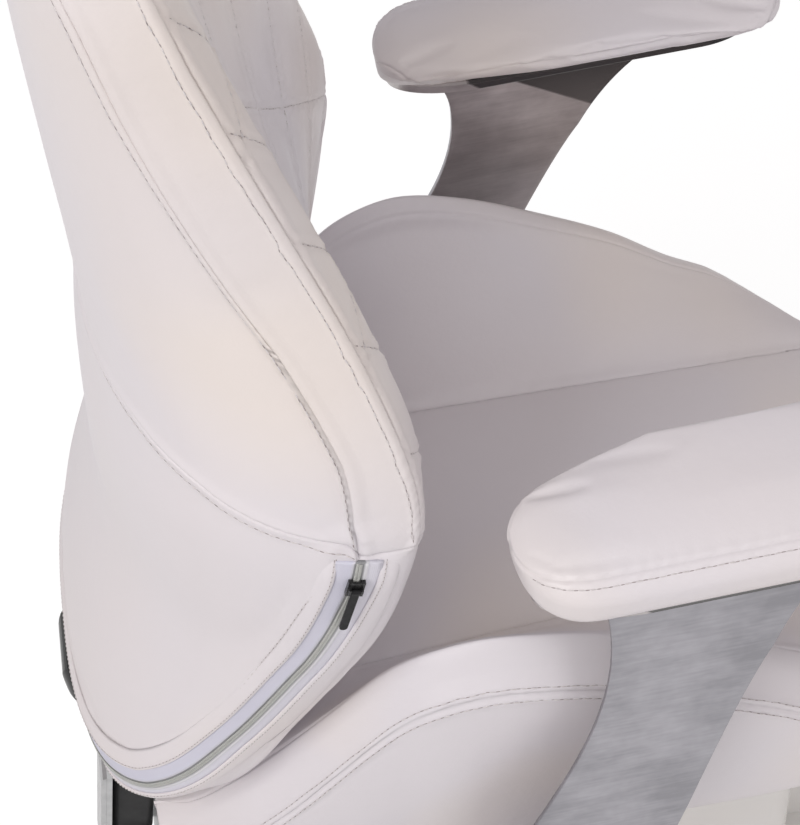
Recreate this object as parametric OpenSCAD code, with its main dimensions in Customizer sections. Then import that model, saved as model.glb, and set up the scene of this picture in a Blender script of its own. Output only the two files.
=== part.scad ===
// Pedicure spa chair: upholstered chair on a sliding carriage over a white
// moulded spa base with foot bowl, faucet and adjustable footrest.
// Millimetres, +Z up, front towards -Y, the chair's left is +X.

/* [Chair] */
// Height of the seat panel's seam above the floor
seat_h = 590; // [560:5:620]
// Length of the seat ahead of the arm pads' rear tips
seat_len = 478; // [440:1:520]
// Half width of the seat at its widest
seat_half = 298; // [280:1:312]
// Half width of the flat centre panel at its rear end
panel_half = 150; // [130:1:170]
// How much the centre panel narrows towards the front
panel_taper = 32; // [0:1:50]
// Thickness of the seat cushion under the seam
seat_t = 145; // [120:1:160]
// Height of the side wings' crest above the panel seam
wing_rise = 181; // [150:1:190]
// Crown of the centre panel
seat_crown = 10; // [2:1:20]

/* [Back] */
// Height of the back's top above the panel seam
back_h = 903; // [860:1:940]
// Half width of the back at the lumbar bulge
back_half = 282; // [260:1:290]
// Depth of the hollow between the side bolsters
back_hollow = 50; // [20:1:60]
// Width of the rounded front edge ahead of the widest line
back_edge = 40; // [34:1:44]
// Width of the zip tape
zip_w = 30; // [20:1:40]
// Width of the closed zip chain
zip_chain = 6; // [5:0.5:8]

/* [Arms] */
// Height of the arm pads' middle above the panel seam
arm_h = 335; // [320:1:345]
// Length of an arm pad
pad_len = 388; // [360:1:400]
// Half width of an arm pad
pad_half = 73; // [60:1:76]
// Distance of an arm pad's middle from the chair's middle
pad_x = 283; // [281:1:290]
// Height of an arm pad over its flange
pad_top = 27; // [20:1:32]
// Depth of an arm pad's lower half
pad_bot = 32; // [26:1:38]
// Thickness of the arm plates
plate_t = 5; // [4:0.5:6]
// Outward lean of the arm plates in degrees
plate_lean = 10; // [9:0.5:11]
// Thickness of the flange under an arm pad
flange_t = 8; // [6:0.5:10]

/* [Mechanism] */
// Travel of the seat on its rails
slide_travel = 110; // [60:5:120]
// Side of the square seat frame tube
tube = 30; // [25:1:34]
// Wall of the seat frame tube
tube_wall = 2; // [1.5:0.5:4]
// Radius of the back's hinge pins
pin_r = 6; // [5:0.5:8]
// Running clearance round pins, on the radius
run = 0.06; // [0.03:0.01:0.1]
// Thickness of the hinge lugs
lug_t = 6; // [5:0.5:8]
// Width of the recline actuator's housing
act_w = 46; // [36:1:48]
// Radius of the actuator's rod
rod_r = 10; // [8:0.5:11]

/* [Base] */
// Height of the plinth on its feet
plinth_h = 80; // [70:1:86]
// Width of the plinth
plinth_w = 680; // [620:10:720]
// Room for rails and runners between the pedestal and the seat frame
rail_room = 38; // [36:1:44]
// Width of the pedestal
pedestal_w = 420; // [380:10:460]
// Height of the bowl's rim above the floor
rim_h = 330; // [310:5:345]
// Inner radius of the bowl at its rim
bowl_r = 190; // [170:1:196]
// Depth of the bowl
bowl_depth = 185; // [150:5:195]
// Width of the tub's rim round the bowl
tub_wall = 78; // [72:1:90]
// Wall of the moulded base
shell = 8; // [5:1:12]
// Radius of a levelling foot
foot_r = 24; // [18:1:30]

/* [Hidden] */
$fn = 64;
gap = 0.4;                      // soft pieces stay this far from neighbours

// ---- heights, from the floor up ----
foot_h = 14;
rail_h = 22;
seat_bot = seat_h - seat_t;              // underside of the cushions
pan_t = 12;
frame_top = seat_bot - pan_t - plate_t;
frame_bot = frame_top - tube;
runner_top = frame_bot;
pedestal_h = frame_bot - rail_room;      // top of the pedestal
arm_z = seat_h + arm_h;                  // middle of the arm pads
flange_z = arm_z - pad_bot - gap;        // top of the pad flange

// ---- lengths, u runs forward from the arm pads' rear tips ----
rear_u = -335;                           // rear end of the seat's sides
hinge = [-290, frame_top + 52];          // back hinge [u, z]
torque = [-350, frame_top + 50];         // torque tube of the back frame
clevis = [-345, frame_top + 12];         // actuator to back lever
foot_pin = [-410, plinth_h + 45];        // actuator's lower pin
act_lean = atan((clevis[0] - foot_pin[0]) / (clevis[1] - foot_pin[1]));
act_len = norm(clevis - foot_pin);
lug_x = 86;                              // frame lugs' middle
ped_rear = -190; ped_front = 300;
bowl_u = 690;
tub_r = bowl_r + tub_wall;               // outer radius of the tub at its rim
plinth_rear = -320; plinth_front = bowl_u + tub_r - 10;
rest_u = bowl_u + tub_r + 28;            // footrest stem
rest_len = 120;
u_front = rest_u + rest_len / 2;
plate_gap = 1.5;                         // behind the actuator
u_rear = foot_pin[0] - act_w/2 - plate_gap - 16.5;
u0 = (u_front + u_rear) / 2;
function Y(u) = u0 - u;

// ---- small helpers ----
function mix(a, b, t) = a + (b - a) * t;
function clamp(v, a, b) = min(max(v, a), b);
// value of column k at position v in a table sorted by column 0, smooth through the rows
function slope(T, i, k) = i <= 0 ? (T[1][k] - T[0][k]) / (T[1][0] - T[0][0])
  : i >= len(T) - 1 ? (T[i][k] - T[i-1][k]) / (T[i][0] - T[i-1][0])
  : (T[i+1][k] - T[i-1][k]) / (T[i+1][0] - T[i-1][0]);
function row(T, v, i = 0) = i >= len(T) - 2 || v < T[i+1][0] ? i : row(T, v, i + 1);
function tab(T, v, k) = let (w = clamp(v, T[0][0], T[len(T)-1][0]), i = row(T, w),
    h = T[i+1][0] - T[i][0], t = (w - T[i][0]) / h)
  (2*t*t*t - 3*t*t + 1) * T[i][k] + (t*t*t - 2*t*t + t) * h * slope(T, i, k)
  + (3*t*t - 2*t*t*t) * T[i+1][k] + (t*t*t - t*t) * h * slope(T, i + 1, k);
function unit(v) = v / norm(v);
function sgnpow(v, p) = sign(v) * pow(abs(v), p);
function bez(a, b, c, d, n) = [for (i = [0:n]) let (t = i / n, s = 1 - t)
  s*s*s*a + 3*s*s*t*b + 3*s*t*t*c + t*t*t*d];

// closed solid through rings of equal point count, capped by fans
module skin(rings) {
  n = len(rings[0]); m = len(rings);
  function mid(r) = [for (k = [0:2]) (r * [for (j = [0:2]) j == k ? 1 : 0]) * [for (i = [1:len(r)]) 1] / len(r)];
  pts = concat([for (r = rings) each r], [mid(rings[0]), mid(rings[m-1])]);
  polyhedron(pts, concat(
    [for (i = [0:m-2], j = [0:n-1]) let (a = i*n + j, b = i*n + (j+1) % n) [a, b, b + n]],
    [for (i = [0:m-2], j = [0:n-1]) let (a = i*n + j, b = i*n + (j+1) % n) [a, b + n, a + n]],
    [for (j = [0:n-1]) [m*n, (j+1) % n, j]],
    [for (j = [0:n-1]) [m*n + 1, (m-1)*n + j, (m-1)*n + (j+1) % n]]));
}
module rrect(w, d, r) {
  square([w, d - 2*r], center = true);
  square([w - 2*r, d], center = true);
  for (x = [-1, 1], y = [-1, 1]) translate([x*(w/2 - r), y*(d/2 - r)]) circle(r);
}
module at(x, u, z) translate([x, Y(u), z]) children();
module tubex(l, s, w) rotate([0, 90, 0]) linear_extrude(l, center = true) difference() {
  square(s, center = true); square(s - 2*w, center = true); }
module tubeu(l, s, w) rotate([90, 0, 0]) linear_extrude(l, center = true) difference() {
  square(s, center = true); square(s - 2*w, center = true); }
module hexhead(r, h) { cylinder(h = h, r = r, $fn = 6); }

// ======================================================================
// Upholstery
// ======================================================================
// Back: one row per height over the panel seam: front edge, rear, half width
BACK = [[-95, -328, -346, 0.43], [-80, -303, -368, 0.63], [-50, -274, -378, 0.75],
  [0, -221, -386, 0.85], [80, -166, -366, 0.89], [160, -116, -335, 0.93], [220, -84, -318, 0.96],
  [285, -62, -304, 0.99], [355, -45, -294, 1], [415, -44, -286, 0.96], [500, -63, -278, 0.87],
  [590, -89, -275, 0.80], [710, -124, -269, 0.755], [825, -157, -261, 0.73],
  [880, -178, -250, 0.64], [903, -200, -235, 0.50]];
back_top = BACK[len(BACK)-1][0];
function bz(h) = h <= 0 ? h : h * back_h / back_top;         // drawn height to real height
function b_hollow(h) = back_hollow * clamp((h + 60) / 200, 0, 1) * clamp((back_top - h) / 260, 0, 1);
// point of the back's surface at drawn height h and angle a (0 left side, 90 front)
function back_pt(h, a, out = 0) = let (uf = tab(BACK, h, 1), ur = tab(BACK, h, 2),
    w = tab(BACK, h, 3) * back_half, e = min(back_edge, (uf - ur) / 2), uc = uf - e,
    c = cos(a), s = sin(a), n = s > 0 ? 4.5 : 2.5, x = w * sgnpow(c, 2/n),
    f = max(0, 1 - pow(x / (0.82*w), 2)),
    u = s > 0 ? uc + e * pow(s, 2/n) - b_hollow(h) * pow(f, 1.3) : uc - (uc - ur) * pow(-s, 2/n))
  [x + out * c, Y(u + out * s), seat_h + bz(h)];
BACK_H = [-95, -91, -86, -80, -68, -50, -28, 0, 30, 60, 95, 130, 165, 200, 235, 270, 305, 340, 375, 410,
  450, 500, 560, 625, 690, 760, 815, 850, 875, 890, 899, 903];
// ring stations: even steps across the hollow front, even angles round the rear
BACK_X = [1, 0.995, 0.97, 0.91, 0.82, 0.70, 0.56, 0.40, 0.21];
BACK_A = concat([for (x = BACK_X) acos(pow(x, 2.25))], [90], [for (i = [8:-1:0]) 180 - acos(pow(BACK_X[i], 2.25))], [for (j = [19:35]) 10*j]);
module back_pad() color("ivory") skin([for (h = BACK_H) [for (a = BACK_A) back_pt(h, a)]]);

// Seat: one row per u: crest height and half width, as shares of the named sizes
SEAT = [[-335, -0.62, 0.72], [-300, -0.48, 0.80], [-250, -0.20, 0.86], [-225, -0.06, 0.875], [-200, 0.10, 0.89], [-150, 0.46, 0.92],
  [-106, 0.75, 0.94], [-74, 0.91, 0.965], [-29, 1.0, 0.985], [14, 1.0, 1], [78, 0.885, 1],
  [145, 0.685, 1], [222, 0.425, 1], [283, 0.16, 0.99], [326, 0.028, 0.97], [361, -0.066, 0.925],
  [406, -0.094, 0.80], [449, -0.138, 0.66], [478, -0.16, 0.545]];
function su(u) = u <= 0 ? u : u * seat_len / 478;
function rear_fall(u) = u > -215 ? 0 : (u + 215) * 1.12;      // falls away under the back
function front_fall(u) = u < 418 ? 0 : -60 * (1 - sqrt(max(0, 1 - pow((u - 418) / 61, 2))));
function panel(u) = panel_half - panel_taper * (u + 262) / 740;
function top_z(u) = seat_h + rear_fall(u) + front_fall(u);
// centre panel: flat top with a small crown, rounded front edge
function centre_ring(u) = let (w = panel(u) - gap, zt = top_z(u) - 4, zb = seat_bot + gap)
  concat([for (i = [0:8]) let (x = w * (1 - i/4)) [x, Y(su(u)), zt + (seat_crown + 4) * pow(max(0, 1 - pow(abs(x)/w, 2.2)), 0.8)]],
    [[-w, Y(su(u)), mix(zt, zb, 0.35)], [-w + 3, Y(su(u)), zb], [0, Y(su(u)), zb], [w - 3, Y(su(u)), zb], [w, Y(su(u)), mix(zt, zb, 0.35)]]);
module seat_centre() color("ivory") skin([for (u = [478, 473, 466, 455, 440, 420, 400, 370, 320, 260,
  190, 120, 50, -20, -80, -130, -180, -215, -240, -258, -262]) centre_ring(u)]);
// side wing: lens panel up to the crest, band over the crest, outer face
function wing_ring(u, m) = let (o = tab(SEAT, u, 2) * seat_half, xi = min(panel(u), o - 34),
    zs = top_z(u), zc = seat_h + wing_rise * tab(SEAT, u, 1) + front_fall(u) * 0.9,
    hgt = zc - zs, xr = o - 34, yb = seat_bot + gap, zl = max(zc - 42, yb + 18), Yu = Y(su(u)))
  [for (p = [[xi, zs], [mix(xi, xr, 0.25), zs + hgt*0.16 + 3], [mix(xi, xr, 0.5), zs + hgt*0.40 + 5], [mix(xi, xr, 0.75), zs + hgt*0.70 + 5],
    [mix(xi, xr, 0.9), zs + hgt*0.90 + 3], [xr - 2, zc], [xr + 8, zc - 5], [xr + 18, max(zc - 19, zl + 4)], [o - 2, zl],
    [o, mix(zl, yb, 0.25)], [o - 1, mix(zl, yb, 0.55)], [o - 8, mix(zl, yb, 0.9)], [o - 22, yb], [mix(xi, o, 0.4), yb], [xi + 3, yb],
    [xi, mix(zs, yb, 0.35)]])
    [m * p[0], Yu, p[1]]];
WING_U = [-335, -330, -318, -300, -275, -250, -225, -200, -175, -150, -125, -100, -75, -50, -25, 0, 30, 60, 100, 140,
  180, 220, 260, 300, 335, 365, 390, 412, 432, 448, 461, 471, 478];
module wing(m) { r = [for (u = WING_U) wing_ring(u, m)];
  skin(m > 0 ? r : [for (i = [len(r)-1:-1:0]) r[i]]); }
module seat_wing_left() color("ivory") wing(1);
module seat_wing_right() color("ivory") wing(-1);

// Arm pads: egg-shaped in plan, crowned on top
function pad_out(u) = let (e = 64, v = min(u, pad_len - u)) v >= e ? 1 : pow(max(0, 1 - pow(1 - v/e, 2.5)), 0.4);
function pad_in(u) = let (e = u < pad_len/2 ? 185 : 90, v = min(u, pad_len - u)) v >= e ? 1 : pow(max(0, 1 - pow(1 - v/e, 2.2)), 0.4545);
function pad_ring(u, m) = let (wo = pad_half * pad_out(u), wi = pad_half * pad_in(u),
    k = pow(max(0, 1 - pow(1 - min(1, min(u, pad_len - u) / 46), 2)), 0.5))
  [for (j = [0:23]) let (a = 15*j, c = cos(a), s = sin(a), x = (c > 0 ? wo : wi) * sgnpow(c, s > 0 ? 0.74 : 0.5))
    [m * (pad_x + x), Y(u), arm_z + (s > 0 ? (6 + (pad_top - 6) * k) * pow(s, 0.9) : -(8 + (pad_bot - 8) * k) * pow(-s, 0.5))]];
PAD_U = [0.6, 4, 10, 18, 28, 42, 60, 85, 115, 150, 190, 230, 270, 305, 330];
module arm_pad(m) { us = concat(PAD_U, [for (d = [42, 28, 18, 10, 4, 0.6]) pad_len - d]);
  r = [for (u = us) pad_ring(u, m)]; skin(m < 0 ? r : [for (i = [len(r)-1:-1:0]) r[i]]); }
module arm_pad_left() color("ivory") arm_pad(1);
module arm_pad_right() color("ivory") arm_pad(-1);

// ======================================================================
// Arms and seat frame
// ======================================================================
// flat link between two points, round ends
module link2d(p, q, r) { translate(p) circle(r); translate(q) circle(r);
  translate((p + q)/2) rotate(atan2(q[1]-p[1], q[0]-p[0])) square([norm(q - p), 2*r - 0.6], center = true); }
// draws a [u, z] outline as a plate t thick, its middle at x
module plate_uz(x, t) translate([x, Y(0), 0]) rotate([90, 0, -90]) translate([0, 0, -t/2]) linear_extrude(t) children();

flange_bot = flange_z - flange_t;
plate_x = pad_x + 14;                    // inner face of the plate under the flange
bend_r = 20;
tongue_x = 150;
// strip: leaning plate, bend and tongue, seen from the front
module arm_strip() {
  l = plate_lean; zt = seat_bot - pan_t; zc = zt + bend_r;
  xc = plate_x + (flange_bot - zc - bend_r*sin(l)) * tan(l) - bend_r*cos(l);
  polygon(concat([[tongue_x, zt]],
    [for (i = [0:8]) let (a = -90 + i*(90 + l)/8) [xc + bend_r*cos(a), zc + bend_r*sin(a)]],
    [[plate_x, flange_bot], [plate_x, flange_bot + 1], [plate_x + plate_t/cos(l), flange_bot + 1], [plate_x + plate_t/cos(l), flange_bot]],
    [for (i = [8:-1:0]) let (a = -90 + i*(90 + l)/8) [xc + (bend_r + plate_t)*cos(a), zc + (bend_r + plate_t)*sin(a)]],
    [[tongue_x, zt - plate_t]]));
}
arm_drop = flange_bot - seat_bot;        // shape below is drawn for a drop of 440
function arm_pt(p) = [p[0], flange_bot - p[1] * arm_drop / 440];
// side outline: swept front edge flaring into the flange, rear edge raked back
module arm_outline() polygon([for (p = concat(
  bez([308, 0], [262, 6], [225, 55], [203, 110], 7), bez([203, 110], [180, 150], [152, 228], [131, 285], 7),
  bez([131, 285], [118, 320], [88, 380], [85, 480], 5), bez([-60, 480], [-60, 380], [-34, 328], [-2, 274], 5),
  bez([-2, 274], [30, 220], [74, 150], [72, 65], 7), bez([72, 65], [72, 40], [66, 12], [48, 0], 4), [[48, -1], [308, -1]])) arm_pt(p)]);
// flange: the pad's own outline drawn in by flange_in
flange_in = 24;
FL_U = [0, 3, 9, 18, 30, 48, 75, 110, 150];
function flange_pts() = let (l = pad_len - 2*flange_in + 8, us = concat(FL_U, [for (i = [len(FL_U)-1:-1:0]) l - FL_U[i]]),
  full = function(u) (u - l/2) * pad_len / l + pad_len/2)
  concat([for (u = us) [pad_x + (pad_half - flange_in) * pad_out(full(u)), u + flange_in - 4]],
    [for (i = [len(us)-2:-1:1]) [pad_x - (pad_half - flange_in) * pad_in(full(us[i])), us[i] + flange_in - 4]]);
module screw_us() for (u = [92, 190, 310]) translate([pad_x - 22, Y(u), 0]) children();
module bolt_us() for (u = [-30, 55]) translate([frame_x, Y(u), 0]) children();
module arm_plate(m) color("silver") mirror([m < 0 ? 1 : 0, 0, 0]) {
  difference() {
    intersection() {
      translate([0, Y(0), 0]) rotate([90, 0, 0]) translate([0, 0, -150]) linear_extrude(550) arm_strip();
      plate_uz(300, 400) arm_outline();
    }
    bolt_us() translate([0, 0, frame_top - 1]) cylinder(r = 4.2, h = plate_t + 2);
  }
  difference() {
    translate([0, Y(0), flange_bot]) linear_extrude(flange_t) polygon([for (p = flange_pts()) [p[0], -p[1]]]);
    screw_us() translate([0, 0, flange_bot - 1]) cylinder(r = 4.2, h = flange_t + 2);
  }
}
module arm_plate_left() arm_plate(1);
module arm_plate_right() arm_plate(-1);
module arm_screws() color("dimgray") for (m = [0, 1]) mirror([m, 0, 0]) screw_us() {
  translate([0, 0, flange_bot - 4.5]) hexhead(7.2, 4.5);
  translate([0, 0, flange_bot - 1]) cylinder(r = 4, h = flange_t + gap + 19); }
// arm bolts: heads in the pan's access holes, shanks through the tube's top wall
module arm_bolts() color("dimgray") for (m = [0, 1]) mirror([m, 0, 0]) bolt_us() {
  translate([0, 0, frame_top + plate_t]) hexhead(7.5, 5.5);
  translate([0, 0, frame_top - 14]) cylinder(r = 4, h = plate_t + 15); }

frame_x = 170; frame_rear = -320; frame_front = 400;
cross_us = [hinge[0], 40, frame_front - 20];
pivot_u = frame_front + 26;              // slide lever's pivot
module seat_frame() color("dimgray") difference() {
  union() {
    difference() {
      union() {
        for (x = [-1, 1]) at(x*frame_x, (frame_rear + frame_front)/2, frame_bot + tube/2) tubeu(frame_front - frame_rear, tube, tube_wall);
        for (u = cross_us) at(0, u, frame_bot + tube/2) tubex(2*frame_x - tube, tube, tube_wall);
      }
      for (m = [0, 1]) mirror([m, 0, 0]) bolt_us() translate([0, 0, frame_top - 8]) cylinder(r = 4.2, h = 10);
    }
    for (x = [-1, 1]) plate_uz(x*lug_x, lug_t) difference() {
      union() { translate(hinge) circle(15);
        polygon([[hinge[0] - 15, hinge[1]], [hinge[0] - tube/2, frame_top - 1], [hinge[0] + tube/2, frame_top - 1], [hinge[0] + 15, hinge[1]]]); }
      translate(hinge) circle(pin_r + run);
    }
    for (x = [-1, 1]) plate_uz(-60 + x*12, 6) difference() {
      union() { translate([pivot_u, frame_bot + tube/2]) circle(9);
        translate([frame_front - 6, frame_bot + tube/2 - 9]) square([pivot_u - frame_front + 6, 18]); }
      translate([pivot_u, frame_bot + tube/2]) circle(4.06);
    }
  }
}
module hinge_pins() color("silver") for (x = [-1, 1]) at(x*lug_x, hinge[0], hinge[1]) mirror([x < 0 ? 1 : 0, 0, 0]) rotate([0, 90, 0]) {
  translate([0, 0, -lug_t/2 - 8]) cylinder(r = pin_r, h = 2*lug_t + 16);
  translate([0, 0, -lug_t/2 - 8]) cylinder(r = pin_r + 3, h = 4);
  translate([0, 0, 1.5*lug_t + 4]) cylinder(r = pin_r + 3, h = 4); }
pan_rear = -255;
pan_x = 250; pan_front = 430; pan_wing = -325;
module seat_pan() color("burlywood") difference() {
  translate([0, 0, seat_bot - pan_t]) linear_extrude(pan_t) polygon([for (p = [
  [-pan_x, pan_wing], [-panel_half, pan_wing], [-panel_half, pan_rear], [panel_half, pan_rear], [panel_half, pan_wing], [pan_x, pan_wing],
  [pan_x, pan_front - 120], [pan_x - 40, pan_front - 40], [pan_x - 110, pan_front], [110 - pan_x, pan_front], [40 - pan_x, pan_front - 40], [-pan_x, pan_front - 120]])
    [p[0], Y(p[1])]]);
  for (m = [0, 1]) mirror([m, 0, 0]) bolt_us() translate([0, 0, seat_bot - pan_t - 1]) cylinder(r = 10, h = pan_t + 2);
}
module slide_lever() color("dimgray") at(-60, pivot_u, frame_bot + tube/2) {
  rotate([0, 90, 0]) { cylinder(r = 9, h = 17, center = true); cylinder(r = 4, h = 30, center = true); }
  rotate([90, 0, 0]) cylinder(r = 5, h = 42);
  translate([0, -42, 0]) rotate([0, 90, 0]) cylinder(r = 7, h = 96, center = true);
}
module slide_runners() color("silver") for (x = [-1, 1]) at(x*rail_x, (ped_rear + ped_front)/2, 0)
  rotate([90, 0, 0]) linear_extrude(ped_front - ped_rear, center = true) {
    translate([-14, pedestal_h + 3.3]) square([28, 8]);
    translate([-6, pedestal_h + 11]) square([12, runner_top - pedestal_h - 11]); }
rail_x = frame_x;

// ======================================================================
// Recline mechanism
// ======================================================================
function along(d, side) = foot_pin + d * [sin(act_lean), cos(act_lean)] + side * [cos(act_lean), -sin(act_lean)];
web_x = act_w/2 + 5.5;                   // half width of the bracket
rear_side = -act_w/2 - plate_gap;        // front face of the rear plate
strap_side = act_w/2 + 5;                // rear face of the front strap
strap_t = 9;
strap_top = cross_us[0] - tube/2;        // rear face of the frame's cross tube
slot_d = 45;                             // the actuator swings in the strap's slot above here
function strap_pt(z, t) = let (a = along(-24, strap_side), f = (z - a[1]) / (frame_bot - a[1]))
  [mix(a[0], strap_top - strap_t, f) + t, z];
knuckle = along(213, rear_side - 4);
module actuator_bracket() color("silver") difference() {
  union() {
    // strap down from the rear cross tube, slotted above the pin
    difference() {
      plate_uz(0, 2*web_x) polygon([strap_pt(frame_bot, 0), [strap_top - strap_t, frame_top], [strap_top, frame_top],
        strap_pt(frame_bot, strap_t), strap_pt(along(-24, strap_side)[1], strap_t), along(-24, strap_side)]);
      translate([-act_w/2 - 0.5, Y(strap_top + 30), foot_pin[1] + slot_d]) cube([act_w + 1, 200, frame_top]);
    }
    // rear plate with its rolled top, and the outer stiffener
    plate_uz(0, 2*web_x) polygon([along(-24, rear_side), along(-24, rear_side - 6), along(213, rear_side - 6), along(213, rear_side)]);
    at(0, knuckle[0], knuckle[1]) rotate([0, 90, 0]) cylinder(r = 9, h = 2*web_x, center = true);
    plate_uz(0, 2*web_x - 2) polygon([along(-24, rear_side - 4), along(-24, rear_side - 12), along(150, rear_side - 12), along(156, rear_side - 10), along(158, rear_side - 4)]);
    // web on the far side, ear on the near side round the lower pin
    plate_uz(web_x - 2.5, 5) polygon([along(-24, rear_side - 3), along(160, rear_side - 3), strap_pt(foot_pin[1] + 160, 3), strap_pt(along(-24, strap_side)[1], 3)]);
    plate_uz(2.5 - web_x, 5) polygon([along(-24, rear_side - 3), along(22, rear_side - 3), strap_pt(foot_pin[1] + 22, 3), strap_pt(along(-24, strap_side)[1], 3)]);
  }
  at(0, foot_pin[0], foot_pin[1]) rotate([0, 90, 0]) cylinder(r = 6 + run, h = 2*web_x + 10, center = true);
}
module along_axis() at(0, foot_pin[0], foot_pin[1]) rotate([act_lean, 0, 0]) children();
body_len = 205;
module actuator_body() color("black") along_axis() difference() {
  union() {
    translate([0, 0, 26]) linear_extrude(body_len - 26) rrect(act_w - 6, act_w, 10);
    translate([0, 0, body_len]) cylinder(r = rod_r + 7, h = 9);
    rotate([0, 90, 0]) cylinder(r = 14, h = 30, center = true);
    translate([-15, -14, 0]) cube([30, 28, 27]);
  }
  rotate([0, 90, 0]) cylinder(r = 6 + run, h = 60, center = true);
  translate([0, 0, body_len - 120]) cylinder(r = rod_r + run, h = 140);
}
fork_play = 2.6;
module actuator_rod() color("silver") along_axis() difference() {
  union() {
    translate([0, 0, body_len - 70]) cylinder(r = rod_r, h = act_len - body_len + 70 - 30);
    translate([-13, -12, act_len - 32]) cube([26, 24, 14]);
    for (x = [-1, 1]) translate([x*9.5, 0, act_len]) rotate([0, 90, 0]) cylinder(r = 13, h = 7, center = true);
    for (x = [-1, 1]) translate([x*9.5, 0, act_len - 12]) cube([7, 24, 24], center = true);
  }
  translate([0, 0, act_len]) rotate([0, 90, 0]) cylinder(r = 5 + fork_play, h = 40, center = true);
}
module actuator_pins() color("silver") at(0, foot_pin[0], foot_pin[1]) rotate([0, 90, 0]) {
  cylinder(r = 6, h = 2*web_x + 6, center = true);
  for (m = [0, 1]) mirror([0, 0, m]) translate([0, 0, web_x + 0.2]) cylinder(r = 9.5, h = 3); }
module back_frame() color("dimgray") {
  x2 = lug_x + lug_t + 0.5;
  for (x = [-1, 1]) difference() {
    plate_uz(x*x2, lug_t) {
      link2d(hinge, torque, 15);
      link2d(torque, [-330, seat_h], 15); link2d([-330, seat_h], [-262, seat_h + 110], 15);
      link2d([-262, seat_h + 110], [-180, seat_h + 300], 15); link2d([-180, seat_h + 300], [-212, seat_h + 720*back_h/back_top], 15); }
    at(x*x2, hinge[0], hinge[1]) rotate([0, 90, 0]) cylinder(r = pin_r + run, h = 20, center = true);
  }
  at(0, torque[0], torque[1]) rotate([0, 90, 0]) cylinder(r = 12, h = 2*x2, center = true);
  for (p = [[-262, 110], [-180, 300], [-212, 720*back_h/back_top]]) at(0, p[0], seat_h + p[1]) rotate([0, 90, 0]) cylinder(r = 10, h = 2*x2, center = true);
  plate_uz(0, 11) link2d(torque, clevis, 11);
  at(0, clevis[0], clevis[1]) rotate([0, 90, 0]) cylinder(r = 5, h = 30, center = true);
}
// cover behind the recline joint: rounded box that hugs the torque tube
cover_w = 72; cover_top = seat_h - 66; cover_bot = frame_top + 13; cover_rear = torque[0] - 61;
module rear_cover() color("black") difference() {
  intersection() {
    plate_uz(0, cover_w) polygon(concat(bez([cover_rear + 32, cover_bot], [cover_rear + 14, cover_bot], [cover_rear, cover_bot + 14], [cover_rear, cover_bot + 34], 8),
      bez([cover_rear + 2, cover_top - 26], [cover_rear + 4, cover_top - 10], [cover_rear + 14, cover_top], [cover_rear + 26, cover_top], 8),
      [[torque[0] - 29.5, cover_top], [torque[0] - 29.5, seat_h - 90], [torque[0] - 6, seat_h - 97], [torque[0] - 2, torque[1]], [torque[0] - 14, cover_bot + 8], [torque[0] - 18, cover_bot]]));
    translate([0, Y(torque[0] - 30), cover_bot]) linear_extrude(cover_top - cover_bot) rrect(cover_w, 62, 16);
  }
  at(0, torque[0], torque[1]) rotate([0, 90, 0]) cylinder(r = 12.1, h = cover_w + 10, center = true);
  plate_uz(0, 11.6) link2d(torque, clevis, 11.3);
}

// ======================================================================
// Zip round the back's lower edge
// ======================================================================
// from the side seam down, then round the rear: [height over the seam, degrees behind the widest line]
ZIP = [[350, 3.7], [325, 4], [300, 4.6], [272, 5.4], [245, 6.3], [218, 7.2], [190, 8.2], [165, 8.7], [140, 9.2], [115, 9.8], [92, 10.8],
  [68, 12.2], [45, 14.5], [27, 17.5], [12, 21], [-1, 25], [-12, 31], [-21, 38], [-29, 46], [-36, 57], [-40, 68], [-43, 79], [-44, 90]];
zip_path = concat([for (p = ZIP) back_pt(p[0], 180 + p[1])], [for (i = [len(ZIP)-2:-1:0]) back_pt(ZIP[i][0], -ZIP[i][1])]);
// outward normal of the back's surface at one point of the path
function zip_n(i) = let (m = len(ZIP) - 1, q = ZIP[i <= m ? i : 2*m - i], a = i <= m ? 180 + q[1] : -q[1])
  unit(cross(back_pt(q[0] + 5, a) - back_pt(q[0] - 5, a), back_pt(q[0], a + 1.5) - back_pt(q[0], a - 1.5)));
zn = len(zip_path);
function zt(i) = unit(zip_path[min(zn-1, i+1)] - zip_path[max(0, i-1)]);
function znrm(i) = let (n = zip_n(i), t = zt(i)) unit(n - t * (n * t));
function zl(i) = unit(cross(znrm(i), zt(i)));
function strip_ring(i, w, lo, hi) = let (p = zip_path[i], n = znrm(i), l = zl(i))
  [p + n*lo - l*w/2, p + n*hi - l*w/2, p + n*hi + l*w/2, p + n*lo + l*w/2];
module zip_strip(w, lo, hi) skin([for (i = [0:zn-1]) strip_ring(i, w, lo, hi)]);
tape_hi = 2.2;
module zip_tape() color("lightsteelblue") zip_strip(zip_w, 0.8, tape_hi);
module zip_chain_teeth() color("silver") zip_strip(zip_chain, tape_hi - 0.3, tape_hi + 2.1);
module zip_frame(i) { p = zip_path[i]; n = znrm(i); t = zt(i); l = zl(i);
  multmatrix([[l[0], t[0], n[0], p[0]], [l[1], t[1], n[1], p[1]], [l[2], t[2], n[2], p[2]], [0, 0, 0, 1]]) children(); }
slider_i = 1;
pull_z = tape_hi + 6.2;
module zip_slider() color("dimgray") zip_frame(slider_i) difference() {
  union() {
    translate([-6.5, -8, tape_hi + 0.2]) cube([13, 16, 3.9]);
    for (x = [-1, 1]) translate([x*4.6 - 0.9, -3, tape_hi + 4]) cube([1.8, 6, 3.6]);
    translate([-5, 0, pull_z]) rotate([0, 90, 0]) cylinder(r = 1, h = 10);
  }
  translate([-zip_chain/2 - 0.3, -9, tape_hi]) cube([zip_chain + 0.6, 18, 2.5]);
}
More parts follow.
